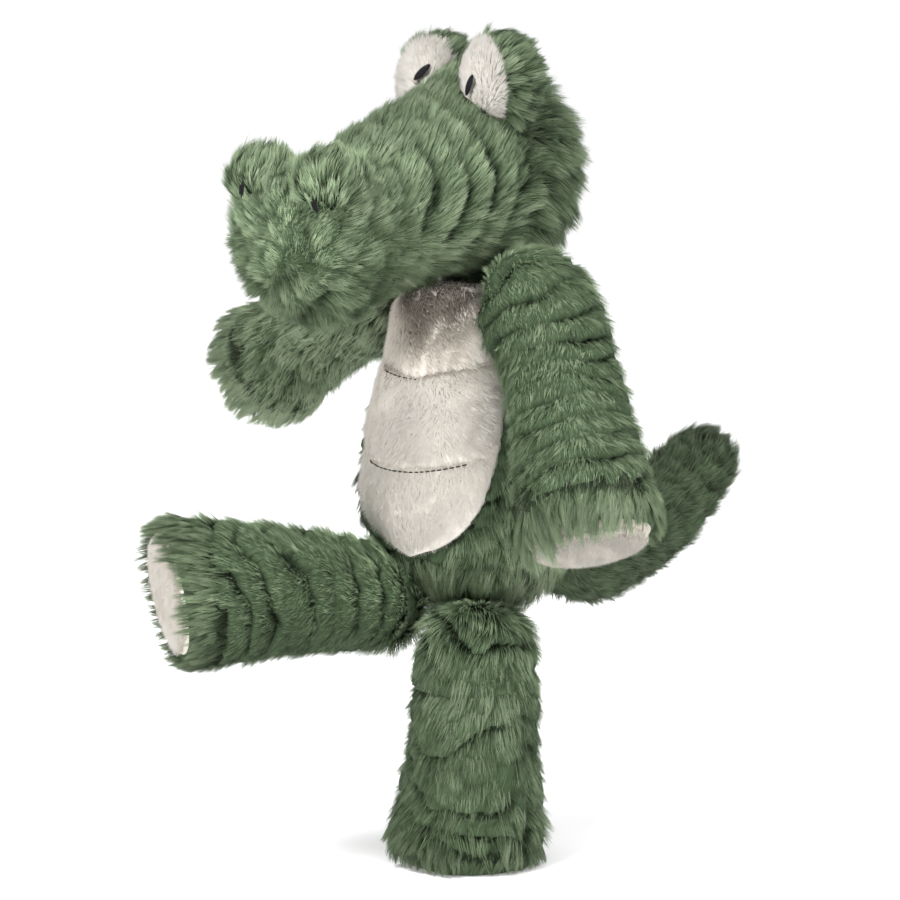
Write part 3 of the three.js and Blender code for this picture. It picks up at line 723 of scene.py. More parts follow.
def growPile(name, form, pile, body, others=(), keep=None, sRange=(0, 1), material="pile", flow=None,
             floor=False, avoid=None):
    # hairs laid in rows: each tip lies at the pile's outside and its root further back, near the skin
    count, seed = pile["hairs"] // fewer, pile["seed"]
    s, t, roll = scatter(form, count, seed + pile["deal"], sRange, keep)
    place, out, ahead = form.frame(s, t, pile["under"])
    around = unit(np.cross(out, ahead))
    tuft = clumps(place, pile["tuft"], seed + 10)
    swing = 0.8 * ripple(place, 18, seed + 1) + 0.55 * shared(roll, tuft) + 0.28 * roll.normal(size=count)
    swing = np.radians(pile["stray"]) * swing
    lay = unit(pile["sign"] * ahead * np.cos(swing)[:, None] + around * np.sin(swing)[:, None])
    if flow is not None:
        lay = flow(s, t, place, out, lay)
        lay = unit(lay - out * np.einsum("ij,ij->i", lay, out)[:, None])
    q, crown, strength = rowShape(form, s, place, pile)
    if "overEnd" in pile:
        last = nearPad(s)
        q, crown, strength = q * (1 - last) + 0.9 * last, crown * (1 - last) + last, strength * (1 - last)
    high = pileHeight(pile, crown, place)
    high = high + pile["tuftRise"] * shared(roll, tuft) + 0.5 * pile["loose"] * roll.normal(size=count)
    if "swell" in pile:
        high = high + pile["swell"](s, place)
    high = np.maximum(high, 1.2)
    reach = pile["reach"] * roll.uniform(0.75, 1.2, count)
    ownRow = (q + 0.10) * pile["pitch"] * roll.uniform(0.8, 1.1, count)
    reach = np.where(ownRow < reach, reach + (ownRow - reach) * np.minimum(strength, 1), reach)
    tips = place + out * high[:, None]
    middle = meansOf(tips, tuft)
    pull = np.clip(pile["gather"] + 0.15 * roll.normal(size=count), 0, 0.9)[:, None]
    tips = tips * (1 - pull) + (middle + (tips - middle) * 0.15) * pull
    lock = clumps(place, pile["lock"], seed + 12)
    tips = drawn(tips, lock, pile["lockPull"]) + out * (0.5 * pile["tuftRise"] * shared(roll, lock))[:, None]
    over = pile["over"] * climb(q, 0.8, 0.2) * strength + pile["loose"] * np.abs(roll.normal(size=count))
    tips = tips + lay * over[:, None]
    if "overEnd" in pile:  # the last pile reaches over the pad's rim and bends in
        past = pile["overEnd"](s, place) * roll.uniform(0.75, 1.1, count) * (1 + 0.26 * shared(roll, tuft))
        tips = tips + lay * past[:, None] - out * (past * pile["bendIn"])[:, None]
        tips = tips + around * (1.3 * last * shared(roll, tuft))[:, None]
        tips = drawn(tips, tuft, (0.28 * last)[:, None])
        reach = reach + past * 0.5
    if pile["hollow"] > 0:  # hairs of one big tuft lean together
        tips = drawn(tips, clumps(place, pile["hollowSize"], seed + 40), 0.28 * pile["hollow"])
    start = place - lay * reach[:, None] + out * (high * pile["startShare"])[:, None]
    good = roll.uniform(size=count) > (1 - crown) * 0.95  # thin where the rows part
    if avoid is not None:
        good &= ~(avoid(tips) | avoid((tips + start) / 2) | avoid(start))
    for other in others:
        good &= ~other.holds(tips, -1.5)
    if floor:
        tips[:, 2] = np.where(tips[:, 2] < 0.3, 0.3 + np.abs(tips[:, 2] * 0.02), tips[:, 2])
        start[:, 2] = np.maximum(start[:, 2], 1.0)
    tone = 0.50 + 0.16 * ripple(place, 28, seed + 20) + 0.10 * ripple(place, 8, seed + 21)
    tone = tone + 0.10 * shared(roll, tuft) + 0.10 * roll.normal(size=count) + 0.11 * shared(roll, lock)
    # painted shade: the hair darkens in partings and hollows and at the start of each row, and lightens a
    # little on the crowns
    tone = tone + pile["shade"] * (crown - 0.85) + 0.16 * (q - 0.5)
    tone = tone + (pile["tone"](place) if callable(pile["tone"]) else pile["tone"])
    if "overEnd" in pile:
        tone = tone + last * (0.12 * shared(roll, tuft) - 0.12)
    width = pile["width"] * roll.uniform(0.75, 1.25, count)
    spikes(name, good, start, tips, out, width, tone, material, body)
    say(f"{name}: {good.sum()} hairs")


def skinRelief(form, pile, spare=None):
    def relief(s, t, place, out):
        crown = rowShape(form, s, place, pile)[1]
        last = nearPad(s) if form.padded else 0
        crown = crown * (1 - last) + last
        high = pileHeight(pile, crown, place) * pile["fill"] * (1 - 0.55 * last) - (1 - crown) * 1.2
        if spare is not None:
            high = np.where(spare(place), -3.0, high)
        return high, crown
    return relief


def plainRelief(s, t, place, out):
    return 1.5 + 0 * s, 1 + 0 * s


def bump(s, middle, width):
    return np.exp(-((s - middle) / width) ** 2)


# Piles: millimetres, and how each member's pile is combed
base = {
    "hairs": 50000, "deal": 0, "sign": 1, "tone": 0, "under": 8, "pile": 9.0, "dip": 0.85, "rows": 1.0,
    "parting": 0.34, "over": 0.8, "pitch": 12.5, "wander": 0.5, "reach": 10, "startShare": 0.20,
    "tuft": 3.8, "tuftRise": 0.9, "gather": 0.30, "lock": 1.9, "lockPull": 0.5, "loose": 1.2, "stray": 16,
    "width": 0.46, "lump": 0.9, "lumpSize": 15, "hollow": 0.22, "hollowSize": 10, "fill": 0.64, "fray": 1.0,
    "shade": 0.55,
}
piles = {
    # painted light: the head's pile is a little lighter, as lit from above
    "head": {**base, "hairs": 44000, "seed": 100, "sign": -1, "tone": 0.08, "pile": 9.8, "pitch": 17,
             "brink": 0.22, "dip": 1.0, "over": 0.1, "fray": 0.45, "shade": 1.1, "reach": 8, "stray": 13,
             "tuftRise": 1.1, "lump": 1.3, "hollow": 0.12, "hollowSize": 13},
    "torso": {**base, "hairs": 36000, "seed": 200, "pitch": 16, "rows": 0.9, "sign": -1, "stray": 20,
              "tuft": 4.2, "gather": 0.45,
              "tuftRise": 1.1, "hollow": 0.45, "tone": lambda p: 0.04 + 0.16 * climb(-p[:, 2], -174, 14),
              "swell": lambda s, p: 6 * climb(-p[:, 2], -152, 18)},
    "armLeft": {**base, "seed": 300, "pitch": 11.5, "shade": 0.8},
    "armRight": {**base, "seed": 400, "pitch": 13, "rows": 0.45, "tone": 0.36, "tuft": 4.4, "tuftRise": 1.3,
                 "stray": 24, "hollow": 0.6, "hollowSize": 12, "loose": 1.5},
    "legLeft": {**base, "seed": 500, "pitch": 15.5, "rows": 0.95, "tone": 0.07, "wander": 0.95,
                "hollow": 0.35, "hollowSize": 14, "lump": 1.3,
                "swell": lambda s, p: (3.5 * bump(s, 0.86, 0.07) + 6 * bump(s, 0.09, 0.08)
                                        - 3 * climb(s, 0.94, 0.06))},
    # painted shade: this leg's whole pile is darker, as in shadow
    "legRight": {**base, "seed": 600, "pitch": 14.5, "tone": -0.41,
                 "swell": lambda s, p: 6 * bump(s, 0.09, 0.08)},
    # painted shade: the tail's whole pile is darker, as in shadow
    "tail": {**base, "hairs": 40000, "seed": 700, "pitch": 14, "rows": 0.6, "tone": -0.56, "stray": 26,
             "tuft": 4.4, "tuftRise": 1.4,
             "loose": 2.2, "reach": 8, "hollow": 0.35, "swell": lambda s, p: 7 * bump(s, 0, 0.07)},
    # painted light: the bridge's pile is lighter, as lit from above
    "ridge": {**base, "hairs": 22000, "seed": 750, "sign": -1, "under": 6, "pile": 7, "pitch": 16,
              "rows": 0.6, "tone": 0.20,
              "stray": 12, "swell": lambda s, p: 3.5 * climb((headMiddle - p) @ headAhead, -16, 10)},
    "eye": {**base, "hairs": 16000, "under": 4.5, "pile": 8.0, "reach": 6, "pitch": 12, "rows": 0.4,
            "tuft": 5, "tuftRise": 1.7, "gather": 0.45, "lump": 1.2, "hollow": 0.6, "hollowSize": 11,
            "loose": 2.0, "stray": 26},
    "nose": {**base, "hairs": 11000, "under": 4.5, "pile": 7.5, "reach": 5.5, "pitch": 12, "rows": 0.2,
             "tuft": 4.6, "stray": 20, "tuftRise": 1.5, "gather": 0.45, "hollow": 0.45, "loose": 2.0,
             "tone": 0.10},
}
piles["muzzle"] = {**piles["head"], "hairs": 47000, "pile": 10, "reach": 5, "rows": 0.4, "gather": 0.18,
                   "lockPull": 0.25, "tuft": 3.8, "tuftRise": 1.0, "hollow": 0.32, "hollowSize": 12,
                   "tone": 0.02, "width": 0.38, "fray": 1.0, "shade": 0.7}
piles["nape"] = {**piles["head"], "hairs": 42000, "rows": 0.6, "hollow": 0.6, "hollowSize": 14, "tuft": 4.6,
                 "tuftRise": 1.5, "loose": 1.8, "stray": 22, "tone": 0.03, "fray": 1.0, "shade": 0.8,
                 "swell": lambda s, p: ((3 + 2.5 * climb(np.abs(p[:, 2] - headMiddle[2]) / 20, 0.4, 1))
                                        * climb((headMiddle - p) @ headAhead, -12, 16))}
piles["eyeWhite"] = {**piles["eye"], "hairs": 15000, "pile": 6.6, "reach": 4, "rows": 0.0, "hollow": 0.0,
                     "width": 0.36, "tone": 0.05, "tuft": 3.4, "stray": 16, "gather": 0.1, "lockPull": 0.15,
                     "tuftRise": 0.4, "loose": 1.0, "lump": 0.5, "startShare": 0.35}

placeCamera()
setStudio()
say("camera, floor and light")


# Belly panel
belly = {"half": 41, "top": 288, "bottom": 157, "seams": {"upper": 0.71, "lower": 0.37}, "droop": 7,
         "fromEdge": 4, "front": -4.0, "back": -9.0, "hairs": 38000}
bellyRows = np.array([  # share of the half width, share of the height
    [0, 0], [0.35, 0.03], [0.68, 0.105], [0.92, 0.225], [1, 0.4], [0.95, 0.58], [0.82, 0.76], [0.67, 0.92],
    [0.5, 1],
])


def bellyHalf(z):
    up = climb(z, belly["bottom"], belly["top"] - belly["bottom"])
    return belly["half"] * np.maximum(glide(bellyRows[:, 1], bellyRows[:, 0], up), 0)


def inFront(points):
    return points[:, 1] < torsoMiddle(points[:, 2])[:, 1]


def onBelly(points, grown=0.0):
    # which points in front of the torso lie over the panel
    z, x = points[:, 2], points[:, 0] - torso["x"]
    level = (z > belly["bottom"] - grown) & (z < belly["top"] + grown)
    return inFront(points) & (np.abs(x) < bellyHalf(z) + grown) & level


def torsoSpot(x, z, proud):
    row = torsoForm.row((z - torso["bottom"]) / torso["height"])
    a, b = row[:, 9] + proud, row[:, 10] + proud
    y = -b * np.sqrt(np.clip(1 - (x / a) ** 2, 0.02, 1))
    place = row[:, 0:3] + np.stack([x, y, np.zeros_like(x)], 1)
    out = unit(np.stack([x / a**2, y / b**2, 0 * x], 1) * 1000)
    slope = np.gradient(torsoForm.table[:, 10]) / np.gradient(torsoForm.table[:, 2])
    out[:, 2] = -np.interp(z, torsoForm.table[:, 2], slope).clip(-1.5, 1.5)
    return place, unit(out)


def seamLine(up):
    # half a stitched row's width, and its height at each x
    middle = belly["bottom"] + (belly["top"] - belly["bottom"]) * up
    half = float(bellyHalf(np.array([middle]))[0]) - belly["fromEdge"]
    return half, lambda x: middle - belly["droop"] * (1 - (x / half) ** 2)


def aboveSeam(x, z, up):
    return z - seamLine(up)[1](x)


def bellySwell(x, z):
    edge = np.clip(1 - (np.abs(x) / np.maximum(bellyHalf(z), 1)) ** 4, 0, 1)
    swell = -0.6 + 2.4 * edge
    for up in belly["seams"].values():
        d = aboveSeam(x, z, up)
        dent = 0.45 * bump(d, 0, 2.2) + 0.25 * bump(d, 0, 8.0)
        pucker = 0.25 * np.sin(x * 1.15 + 3 * up) * bump(d, 0, 9.0)
        swell = swell - 2.1 * dent + pucker * edge
    points = np.stack([x, 0 * x, z], 1)
    return swell + 0.8 * ripple(points, 13, 31) + 0.35 * ripple(points, 5, 32)


def bellySpot(x, z):
    place, out = torsoSpot(x, z, belly["front"])
    return place + out * bellySwell(x, z)[:, None], out


def makeBelly():
    nU, nV = 60, 90
    z = np.repeat(np.linspace(belly["bottom"] + 0.4, belly["top"] - 0.4, nV), nU)
    x = np.tile(np.linspace(-1, 1, nU), nV) * bellyHalf(z)
    points = np.vstack([bellySpot(x, z)[0], torsoSpot(x * 0.98, z, belly["back"])[0]])
    n = nU * nV
    k = np.arange(n).reshape(nV, nU)
    sheet = quads(k[:-1, :-1], k[:-1, 1:], k[1:, 1:], k[1:, :-1])
    rim = np.concatenate([k[0, :-1], k[:-1, -1], k[-1, :0:-1], k[:0:-1, 0]])
    after = np.roll(rim, -1)
    tris = np.vstack([sheet, (sheet + n)[:, ::-1], quads(rim, rim + n, after + n, after)])
    piece = makeMesh("belly_panel_cloth", points, tris, "cream", "torso")
    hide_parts("belly_panel")


def growBelly():
    count = belly["hairs"] // fewer
    roll = np.random.default_rng(77)
    z = roll.uniform(belly["bottom"] + 0.5, belly["top"] - 0.5, count * 2)
    x = roll.uniform(-1, 1, count * 2) * belly["half"]
    ok = np.abs(x) < bellyHalf(z)
    x, z = x[ok][:count], z[ok][:count]
    count = len(x)
    place, out = bellySpot(x, z)
    tuft = clumps(place, 2.6, 78)
    side = unit(np.cross(out, steady(count, (0, 0, 1))))
    swing = 0.6 * ripple(place, 24, 79) + 0.16 * shared(roll, tuft) + 0.12 * roll.normal(size=count)
    fall = unit(np.cross(out, side))
    fall = np.where(fall[:, 2:3] > 0, -fall, fall)
    edge = np.clip(np.abs(x) / np.maximum(bellyHalf(z), 1), 0, 1) ** 5
    apart = (np.sign(x) * edge)[:, None] * vec(1.2, 0, 0)
    lay = unit(fall * np.cos(swing)[:, None] + side * np.sin(swing)[:, None] + apart)
    high = 1.9 + 0.16 * shared(roll, tuft) + 0.14 * roll.normal(size=count)
    tips = place + out * high[:, None] + lay * (0.5 * roll.normal(size=count) + 2.0 * edge)[:, None]
    tips = tips * 0.92 + meansOf(tips, tuft) * 0.08
    start = place - lay * roll.uniform(3.5, 5.5, count)[:, None] + out * 0.3
    gap = np.minimum.reduce([np.abs(aboveSeam(x, z, up)) for up in belly["seams"].values()])
    # painted shadow: the hair darkens towards the chin, where the head's shadow falls on the panel
    chinShade = climb(z, 236, 38) ** 0.75 * bump(x, 4, 42) * (1 + 0.12 * ripple(place, 9, 83))
    underSeam = np.exp(-((x - 12) / 22) ** 2 - ((z - 190) / 11) ** 2) * (1 + ripple(place, 3.2, 82))
    tone = 0.90 + 0.04 * ripple(place, 20, 80) + 0.03 * roll.normal(size=count)
    tone = tone - 0.32 * bump(gap, 0, 2.6) - 0.80 * chinShade - 0.16 * underSeam
    ok = (gap > 0.7) | (roll.uniform(size=count) < 0.3)
    width = 0.40 * roll.uniform(0.8, 1.2, count)
    spikes("belly_panel_pile", ok, start, tips, out, width, tone, "bellyPile", "torso")


def rod(path, radius, sides=8):
    # a closed round thread along a path, thinner at both ends
    n = len(path)
    way = unit(np.gradient(path, axis=0))
    across = unit(np.cross(way, steady(n, (0.31, -0.2, 0.93))))
    along = np.cross(way, across)
    thick = radius * np.sqrt(np.clip(1 - np.abs(np.linspace(-1, 1, n)) ** 4, 0.08, 1))
    t = np.arange(sides) * math.tau / sides
    ring = across[:, None, :] * np.cos(t)[None, :, None] + along[:, None, :] * np.sin(t)[None, :, None]
    points = (path[:, None, :] + ring * thick[:, None, None]).reshape(-1, 3)
    points = np.vstack([points, path[0] - way[0] * radius * 0.3, path[-1] + way[-1] * radius * 0.3])
    return points, outward(points, tubeFaces(n, sides))


def sew(name, node, rods, material, body):
    # rods joined in one piece
    firsts = np.cumsum([0] + [len(points) for points, _ in rods])
    faces = np.vstack([tris + first for (_, tris), first in zip(rods, firsts)])
    piece = makeMesh(name, np.vstack([points for points, _ in rods]), faces, material, body)
    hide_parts(node)


thread = {"long": 2.6, "gap": 0.6, "radius": 0.36, "insetLeft": 5, "insetRight": 12, "proud": 2.0, "steps": 7}


def sewBelly():
    for name, up in belly["seams"].items():
        half, height = seamLine(up)
        x = np.linspace(-half, half, 400)
        x = x[(x < half - thread["insetLeft"]) & (x > thread["insetRight"] - half)]
        path, out = bellySpot(x, height(x))
        sunk = 1.7 * climb(x, -12, 14) if name == "upper" else 0  # the pile hides part of the upper row
        path = path + out * (thread["proud"] - sunk + 0 * x)[:, None]
        run = np.concatenate([[0], np.cumsum(np.linalg.norm(np.diff(path, axis=0), axis=1))])
        bow = np.sin(np.linspace(0, math.pi, thread["steps"])) * 0.55 - 0.35
        step = thread["long"] + thread["gap"]
        rods = []
        for k in range(int(run[-1] / step)):
            at = k * step + np.linspace(0, thread["long"], thread["steps"])
            line, normal = (np.stack([np.interp(at, run, row) for row in part.T], 1) for part in (path, out))
            rods.append(rod(line + normal * bow[:, None], thread["radius"]))
        sew("belly_thread_" + name, "belly_stitch_" + name, rods, "stitch", "torso")


# Pads
pad = {"inset": 5.2, "soleInset": 7.5, "sunk": 1.6, "thick": 4.5, "rear": 0.92, "rings": 30, "sides": 80,
       "hairs": 10000, "soleHairs": 7000, "high": 2.3, "soleHigh": 0.4}
soleCloth = 1.2  # the standing sole's cloth above the floor, with its pile under it
# painted shade: pads of the darker cloth take darker pile too
padTones = {"shadedPad": -0.38, "cream": 0.1}


def dressPad(body, form, crown, cloth, seed, comb):
    flat, arm = body == "leg_left", body.startswith("arm")
    end, before = form.row(np.array([1.0, 0.97]))
    way = unit(end[0:3] - before[0:3])
    radius = end[9] - pad["soleInset" if flat else "inset"]
    count, sides = pad["rings"], pad["sides"]

    def spokes(r, t):
        return end[3:6] * (r * np.cos(t))[:, None] + end[6:9] * (r * np.sin(t))[:, None]

    def leaned(spoke):
        return form.lean(np.ones(len(spoke)), spoke)

    def offAxis(p):
        return np.linalg.norm(p - end[0:3] - way * ((p - end[0:3]) @ way)[:, None], axis=1)

    rr, tt = ringPlaces(np.linspace(0, 1, count + 1)[1:], sides)
    level = end[0:3] + spokes(rr, tt) * radius
    swell = crown * np.sqrt(np.clip(1 - rr**2.6, 0, 1)) - pad["sunk"]
    if not flat:
        swell = swell - 2.0 * rr**8 + 0.5 * ripple(level, 12, 61) * (1 - rr**4)
    level = level + leaned(spokes(rr, tt))
    hub = end[0:3] + leaned(np.zeros((1, 3)))[0]
    top, centre = level + way * swell[:, None], hub + way * (crown - pad["sunk"])
    if flat:
        top[:, 2], centre[2] = soleCloth, soleCloth
    # the rear is narrower, so that its rim stays inside the skin
    rear = hub + (level - hub) * pad["rear"] - way * pad["thick"]
    n = len(top)
    points = np.vstack([top, rear, centre, hub - way * pad["thick"]])
    k, after = rings(count, sides)
    sheet = quads(k[:-1], after[:-1], after[1:], k[1:])
    tris = np.vstack([sheet, fan(after[0], k[0], 2 * n), (sheet + n)[:, ::-1],
                      fan(after[0] + n, k[0] + n, 2 * n + 1)[:, ::-1],
                      quads(k[-1], after[-1], after[-1] + n, k[-1] + n)])
    piece = makeMesh(body + "_pad_cloth", points, outward(points, tris), cloth, body)
    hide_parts(body + "_pad")

    count = pad["soleHairs" if flat else "hairs"] // fewer
    roll = np.random.default_rng(seed)
    r, t = np.sqrt(roll.uniform(0, 1, count)), roll.uniform(0, math.tau, count)
    proud = crown * np.sqrt(1 - r**2.6) - pad["sunk"]
    place = end[0:3] + spokes(r, t) * radius + way * proud[:, None] + leaned(spokes(r, t))
    comb = unit(comb - way * (comb @ way))
    aside = np.cross(way, comb)
    tuft = clumps(place, 3.4, seed + 1)
    swing = 0.45 * ripple(place, 15, seed + 2) + 0.4 * shared(roll, tuft) + 0.25 * roll.normal(size=count)
    lay = comb * np.cos(swing)[:, None] + aside * np.sin(swing)[:, None]
    high = pad["soleHigh" if flat else "high"] + (0.05 if flat else 0.4) * roll.normal(size=count)
    tips = place + way * high[:, None] + lay * 1.5
    start = place - lay * roll.uniform(3, 5, count)[:, None] - way * 0.3
    if flat:
        tips[:, 2], start[:, 2] = 0.15 + 0.5 * roll.uniform(size=count), soleCloth + 0.3
    ok = (offAxis(tips) < radius - 1.5) & (offAxis(start) < radius - 2.5) & (r < 0.92)
    streak = ripple(place - np.outer(place @ comb, comb) * 0.85, 3.2, seed + 4)
    tone = 0.58 + padTones[cloth] + 0.10 * ripple(place, 12, seed + 3) + 0.09 * streak
    tone = tone + 0.08 * shared(roll, tuft) + 0.10 * roll.normal(size=count) - 0.22 * climb(r, 0.75, 0.25)
    if arm:
        tone = tone - 0.22 * np.clip(-(place - end[0:3]) @ comb / radius, 0, 1)
    width = 0.42 * roll.uniform(0.8, 1.2, count)
    spikes(body + "_pad_pile", ok, start, tips, steady(count, way), width, tone, "creamPile", body)


# Skins and their pile
def dressTorso():
    pile = piles["torso"]
    relief = skinRelief(torsoForm, pile, spare=lambda p: onBelly(p, -2.0))
    skinMesh("torso_backing", torsoForm, pile["under"], relief, "torso",
             ("torso_skin", "torso_filling", "pellet_bag"), 110, 120)
    near = [*limbForms.values(), tailForm, headForm]

    def onSkin(s, t, half):
        return ~onBelly(torsoForm.point(s, t), -1.0) * 1.0 * half

    def fromPanel(s, t, place, out, lay):
        # hair beside the panel leans away from it
        x, z = place[:, 0] - torso["x"], place[:, 2]
        edge = np.exp(-np.maximum(np.abs(x) - bellyHalf(z), 0) / 9) * inFront(place) * (z < belly["top"])
        away = np.stack([np.sign(x), 0 * x, -0.35 + 0 * x], 1)
        return unit(lay + away * (0.55 * edge)[:, None])
    growPile("torso_pile_front", torsoForm, pile, "torso", near, lambda s, t: onSkin(s, t, np.sin(t) < 0),
             flow=fromPanel, avoid=lambda p: onBelly(p, 0.8))
    growPile("torso_pile_back", torsoForm, {**pile, "deal": 30, "hairs": 38000}, "torso", near,
             lambda s, t: onSkin(s, t, np.sin(t) >= 0), flow=fromPanel)


headShares = (  # piece, from and to along the head, pile
    ("head_pile_snout", 0.66, 1.0, "muzzle"), ("head_pile_face", 0.34, 0.66, "head"),
    ("head_pile_crown", 0.0, 0.34, "nape"),
)


def sweep(s, t, place, out, lay):
    # from the chin up over the muzzle, up and back along the cheeks, down behind the eyes
    off = place - headMiddle
    ahead, rise = off @ headAhead, off[:, 2]
    front = climb(ahead, 92, 18)[:, None]
    up = climb(rise, -36, 26, -0.2, 1.5) * climb(ahead, 4, 16) - 1.3 * climb(-ahead, -8, 20)
    cheek = unit(lay) + up[:, None] * vec(0, 0, 1)
    return cheek * (1 - front) + (unit(place - chin) + ripples(place, 10, 160) * 0.45) * front


def dressHead():
    def relief(s, t, place, out):
        looks = [skinRelief(headForm, piles[kind])(s, t, place, out) for kind in ("nape", "head", "muzzle")]
        early, late = climb(-s, -0.36, 0.04), climb(s, 0.64, 0.04)
        shares = (early, 1 - early - late, late)
        return (sum(share * look[k] for share, look in zip(shares, looks)) for k in (0, 1))
    skinMesh("head_backing", headForm, base["under"], relief, "head",
             ("head_skin", "head_filling"), 130, 104)
    near = [*eyeForms.values(), *noseForms.values(), ridgeForm]
    ridge = piles["ridge"]
    skinMesh("head_bridge_backing", ridgeForm, ridge["under"], skinRelief(ridgeForm, ridge), "head",
             (), 64, 46)
    growPile("head_bridge_pile", ridgeForm, ridge, "head", [*eyeForms.values()],
             lambda s, t: (np.sin(t) > -0.5) * 1.0,
             flow=lambda s, t, place, out, lay: unit(lay) + vec(0, 0, 0.8))
    for name, low, high, kind in headShares:
        growPile(name, headForm, piles[kind], "head", near, sRange=(low, high), flow=sweep)


def onCameraSide(p):
    # the arm's pile lies further over its pad on the side that is turned out
    return climb((p - vec(100, -33, 190)) @ vec(0.55, -0.83, 0.1), 0, 20, -1)


def fromHip(s, t, place, out, lay):
    # no whorl at the standing leg's top: its hair falls forward and down
    fall = vec(0.35, -0.9, -0.9) + ripples(place, 12, 560) * 0.7
    return unit(lay) + fall * (1.3 * climb(-s, -0.34, 0.24))[:, None]


limbs = {  # over: how far the last pile reaches past the pad's rim, and bendIn: its bend towards the pad
    "armLeft": {"body": "arm_left", "cloth": "shadedPad", "crown": 9, "bendIn": 0.30,
                "over": lambda p: (6.5 + 2.0 * ripple(p, 9, 71) + 4 * onCameraSide(p)
                                   - 4.5 * climb(p @ camRight, 58, 20, -1))},
    "armRight": {"body": "arm_right", "cloth": "shadedPad", "crown": 4, "bendIn": 0.0,
                 "over": lambda p: 7 + 3 * ripple(p, 9, 72),
                 "flow": lambda s, t, place, out, lay: unit(lay) + vec(0, 0, -0.5)},
    "legLeft": {"body": "leg_left", "cloth": "shadedPad", "crown": 0, "bendIn": 0.30,
                "over": lambda p: 0 * p[:, 0],
                "flow": fromHip, "comb": vec(0, 1, 0.2)},
    "legRight": {"body": "leg_right", "cloth": "cream", "crown": 3.5, "bendIn": 0.45,
                 "over": lambda p: 6 + 1.5 * ripple(p, 9, 73) + 2 * climb(p[:, 2], 150, 20, -1)},
}


def dressLimbs():
    for name, limb in limbs.items():
        form, body = limbForms[name], limb["body"]
        pile = {**piles[name], "bendIn": limb["bendIn"],
                "overEnd": lambda s, p, over=limb["over"]: climb(s, 0.88, 0.06) * np.maximum(over(p), 0)}
        skinMesh(body + "_backing", form, pile["under"], skinRelief(form, pile), body,
                 (body + "_skin", body + "_filling"))
        near = [torsoForm, headForm] if name == "armRight" else [torsoForm]
        growPile(body + "_pile", form, pile, body, near, lambda s, t: np.where(s > 0.92, 3.2, 1.0),
                 floor=name == "legLeft", flow=limb.get("flow"))
        comb = limb.get("comb", vec(0.1, 0.1, -1))
        dressPad(body, form, limb["crown"], limb["cloth"], pile["seed"] + 50, comb)


def dressTail():
    pile = piles["tail"]
    skinMesh("tail_backing", tailForm, pile["under"], skinRelief(tailForm, pile), "tail",
             ("tail_skin", "tail_filling"))
    # its tip ends in longer, thinner wisps
    wisps = {**pile, "bendIn": 0.0,
             "overEnd": lambda s, p: climb(s, 0.86, 0.12) * (5 + 2.5 * ripple(p, 7, 75))}
    growPile("tail_pile", tailForm, wisps, "tail", [torsoForm])


# Eyes and nose
pupils = {  # which way each looks, and how it leans
    1: {"inward": 2, "lean": 0, "roll": -25}, -1: {"inward": 22, "lean": 15, "roll": -44},
}
pupil = {"rows": 16, "halfLong": 5.4, "halfWide": 2.0, "proud": 2.7, "radius": 0.45}
marks = {1: {"inward": -28, "lean": -22, "proud": 5.2}, -1: {"inward": 20, "lean": -8, "proud": 3.4}}


def crossWays(look):
    across = unit(np.cross(look, vec(0, 0, 1)))
    return across, np.cross(across, look)


def pupilSpot(side):
    look = lookWay(side, pupils[side]["inward"], pupils[side]["lean"])
    across, upward = crossWays(look)
    lean = math.radians(pupils[side]["roll"])
    long = upward * math.cos(lean) + across * math.sin(lean)
    return lobeMiddle(eye, side) + look * reachOf(look, eye["half"]), look, long, np.cross(long, look)


def makePupil(side):
    # satin stitches over a small oval, following the lobe
    spot, look, long, wide = pupilSpot(side)
    rods = []
    for k in range(pupil["rows"]):
        u = (k + 0.5) / pupil["rows"] * 2 - 1
        half, y = pupil["halfWide"] * math.sqrt(1 - u * u), u * pupil["halfLong"]
        x = np.linspace(-half, half, 9)
        high = pupil["proud"] - 0.07 * x**2 - 0.02 * y**2
        rods.append(rod(spot + long * y + wide * x[:, None] + look * high[:, None], pupil["radius"], 7))
    sew("pupil_floss_" + sideNames[side], "pupil_" + sideNames[side], rods, "black", "head")


def overHood(s, t, place, out, lay):
    rise = climb(place[:, 2] - headMiddle[2], 40, 30, -0.9, 0.5)
    return vec(0, 0, 1) * rise[:, None] - headAhead + lay * 0.2


def whiteRelief(s, t, place, out):
    return np.where(s < eye["seam"], 1.2, -3.0), 1 + 0 * s


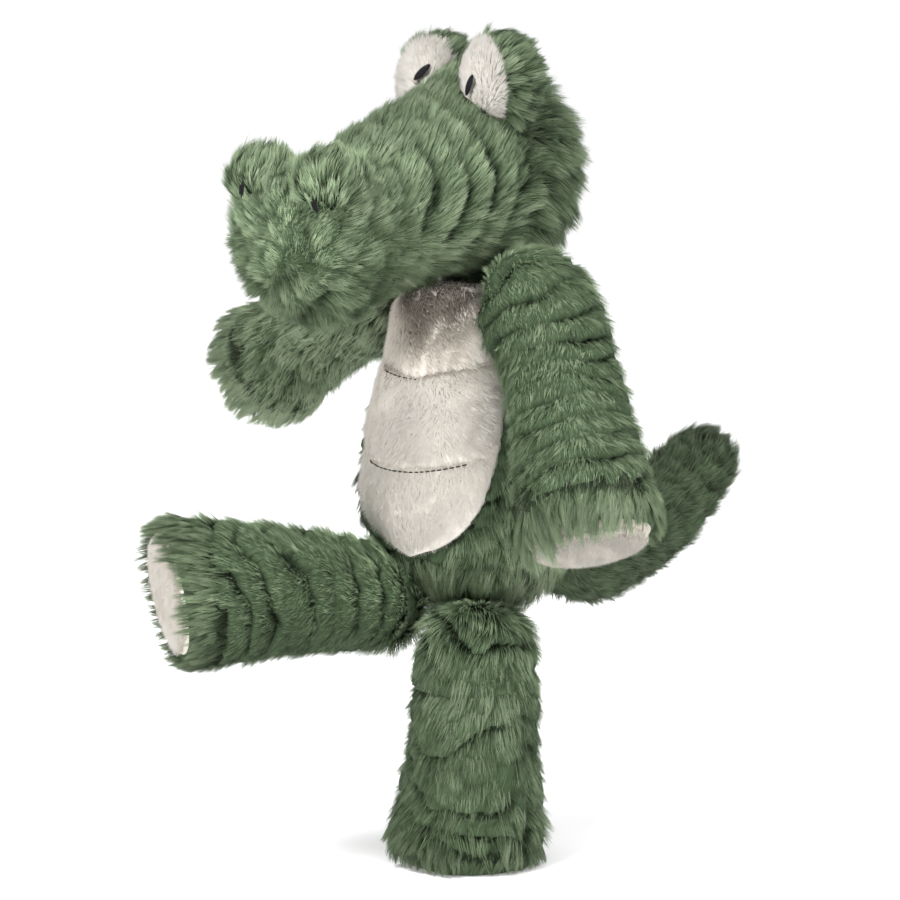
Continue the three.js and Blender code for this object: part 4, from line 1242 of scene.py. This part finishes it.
def dressEyes():
    for side, form in eyeForms.items():
        name = sideNames[side]
        near = [headForm, ridgeForm, eyeForms[-side]]
        skinMesh("eye_hood_backing_" + name, form, 5.5, plainRelief, "head",
                 ("eye_hood_" + name,), 40, 48)
        skinMesh("eye_white_backing_" + name, form, 4.5, whiteRelief, "head",
                 ("eye_white_" + name,), 40, 48, "eyeCloth")
        spot, _, long, wide = pupilSpot(side)

        def aroundPupil(s, t, form=form, spot=spot, long=long, wide=wide):
            off = form.point(s, t) - spot
            return (((off @ long + 0.4) / 5.9) ** 2 + ((off @ wide) / 2.3) ** 2 > 1) * 1.0

        def upAndOut(s, t, place, out, lay, spot=spot):
            return (place - spot) / 22 + steady(len(s), (0, 0, 0.8))
        growPile("eye_hood_pile_" + name, form, {**piles["eye"], "seed": 800 + side}, "head", near,
                 sRange=(eye["seam"] - 0.02, 1), flow=overHood)
        growPile("eye_white_pile_" + name, form, {**piles["eyeWhite"], "seed": 820 + side}, "head", near,
                 aroundPupil, (0, eye["seam"] + 0.01), "eyePile", upAndOut)
        makePupil(side)


def dressNose():
    for side, form in noseForms.items():
        name = sideNames[side]
        pile = {**piles["nose"], "seed": 900 + side}
        skinMesh("nostril_backing_" + name, form, 5.5, plainRelief, "head",
                 ("nostril_lobe_" + name,), 36, 44)
        centre = lobeMiddle(nostril, side)
        look = lookWay(side, marks[side]["inward"], marks[side]["lean"])
        spot = centre + look * (reachOf(look, nostril["half"]) + marks[side]["proud"])
        across, upward = crossWays(look)

        def tousle(s, t, place, out, lay, centre=centre, seed=pile["seed"] + 60):
            wild = ripples(place, 9, seed)
            return unit(place - centre) * 0.3 + vec(0, 0, 0.9) - headAhead * 0.25 + wild * 0.4

        def hidesMark(p, spot=spot, look=look, across=across, upward=upward):
            off = p - spot
            return (((off @ across) / 1.9) ** 2 + ((off @ upward) / 4.4) ** 2 < 1) & (off @ look > -5)
        growPile("nostril_pile_" + name, form, pile, "head", [noseForms[-side]], flow=tousle, avoid=hidesMark)
        rods = []
        for shift, size in ((-0.8, 3.0), (0.1, 4.2), (0.9, 2.6)):
            z = np.linspace(-size, size, 11)
            aside = across * (shift + 0.16 * side * z)[:, None]
            line = spot + upward * z[:, None] + aside + look * (0.9 - 0.035 * z**2)[:, None]
            rods.append(rod(line, 0.42, 7))
        sew("nostril_floss_" + name, "nostril_stitch_" + name, rods, "black", "head")


dressTorso()
makeBelly()
growBelly()
sewBelly()
say("torso and belly")
dressHead()
dressEyes()
dressNose()
say("head")
dressLimbs()
dressTail()
say("limbs and tail")

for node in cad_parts:
    item = bpy.data.objects.get(node if isinstance(node, str) else node.get("name", ""))
    if item is None or item.type != "MESH":
        continue
    item.data.materials.clear()
    item.data.materials.append(materials["knot"] if item.name.endswith("knot") else materials["fibre"])
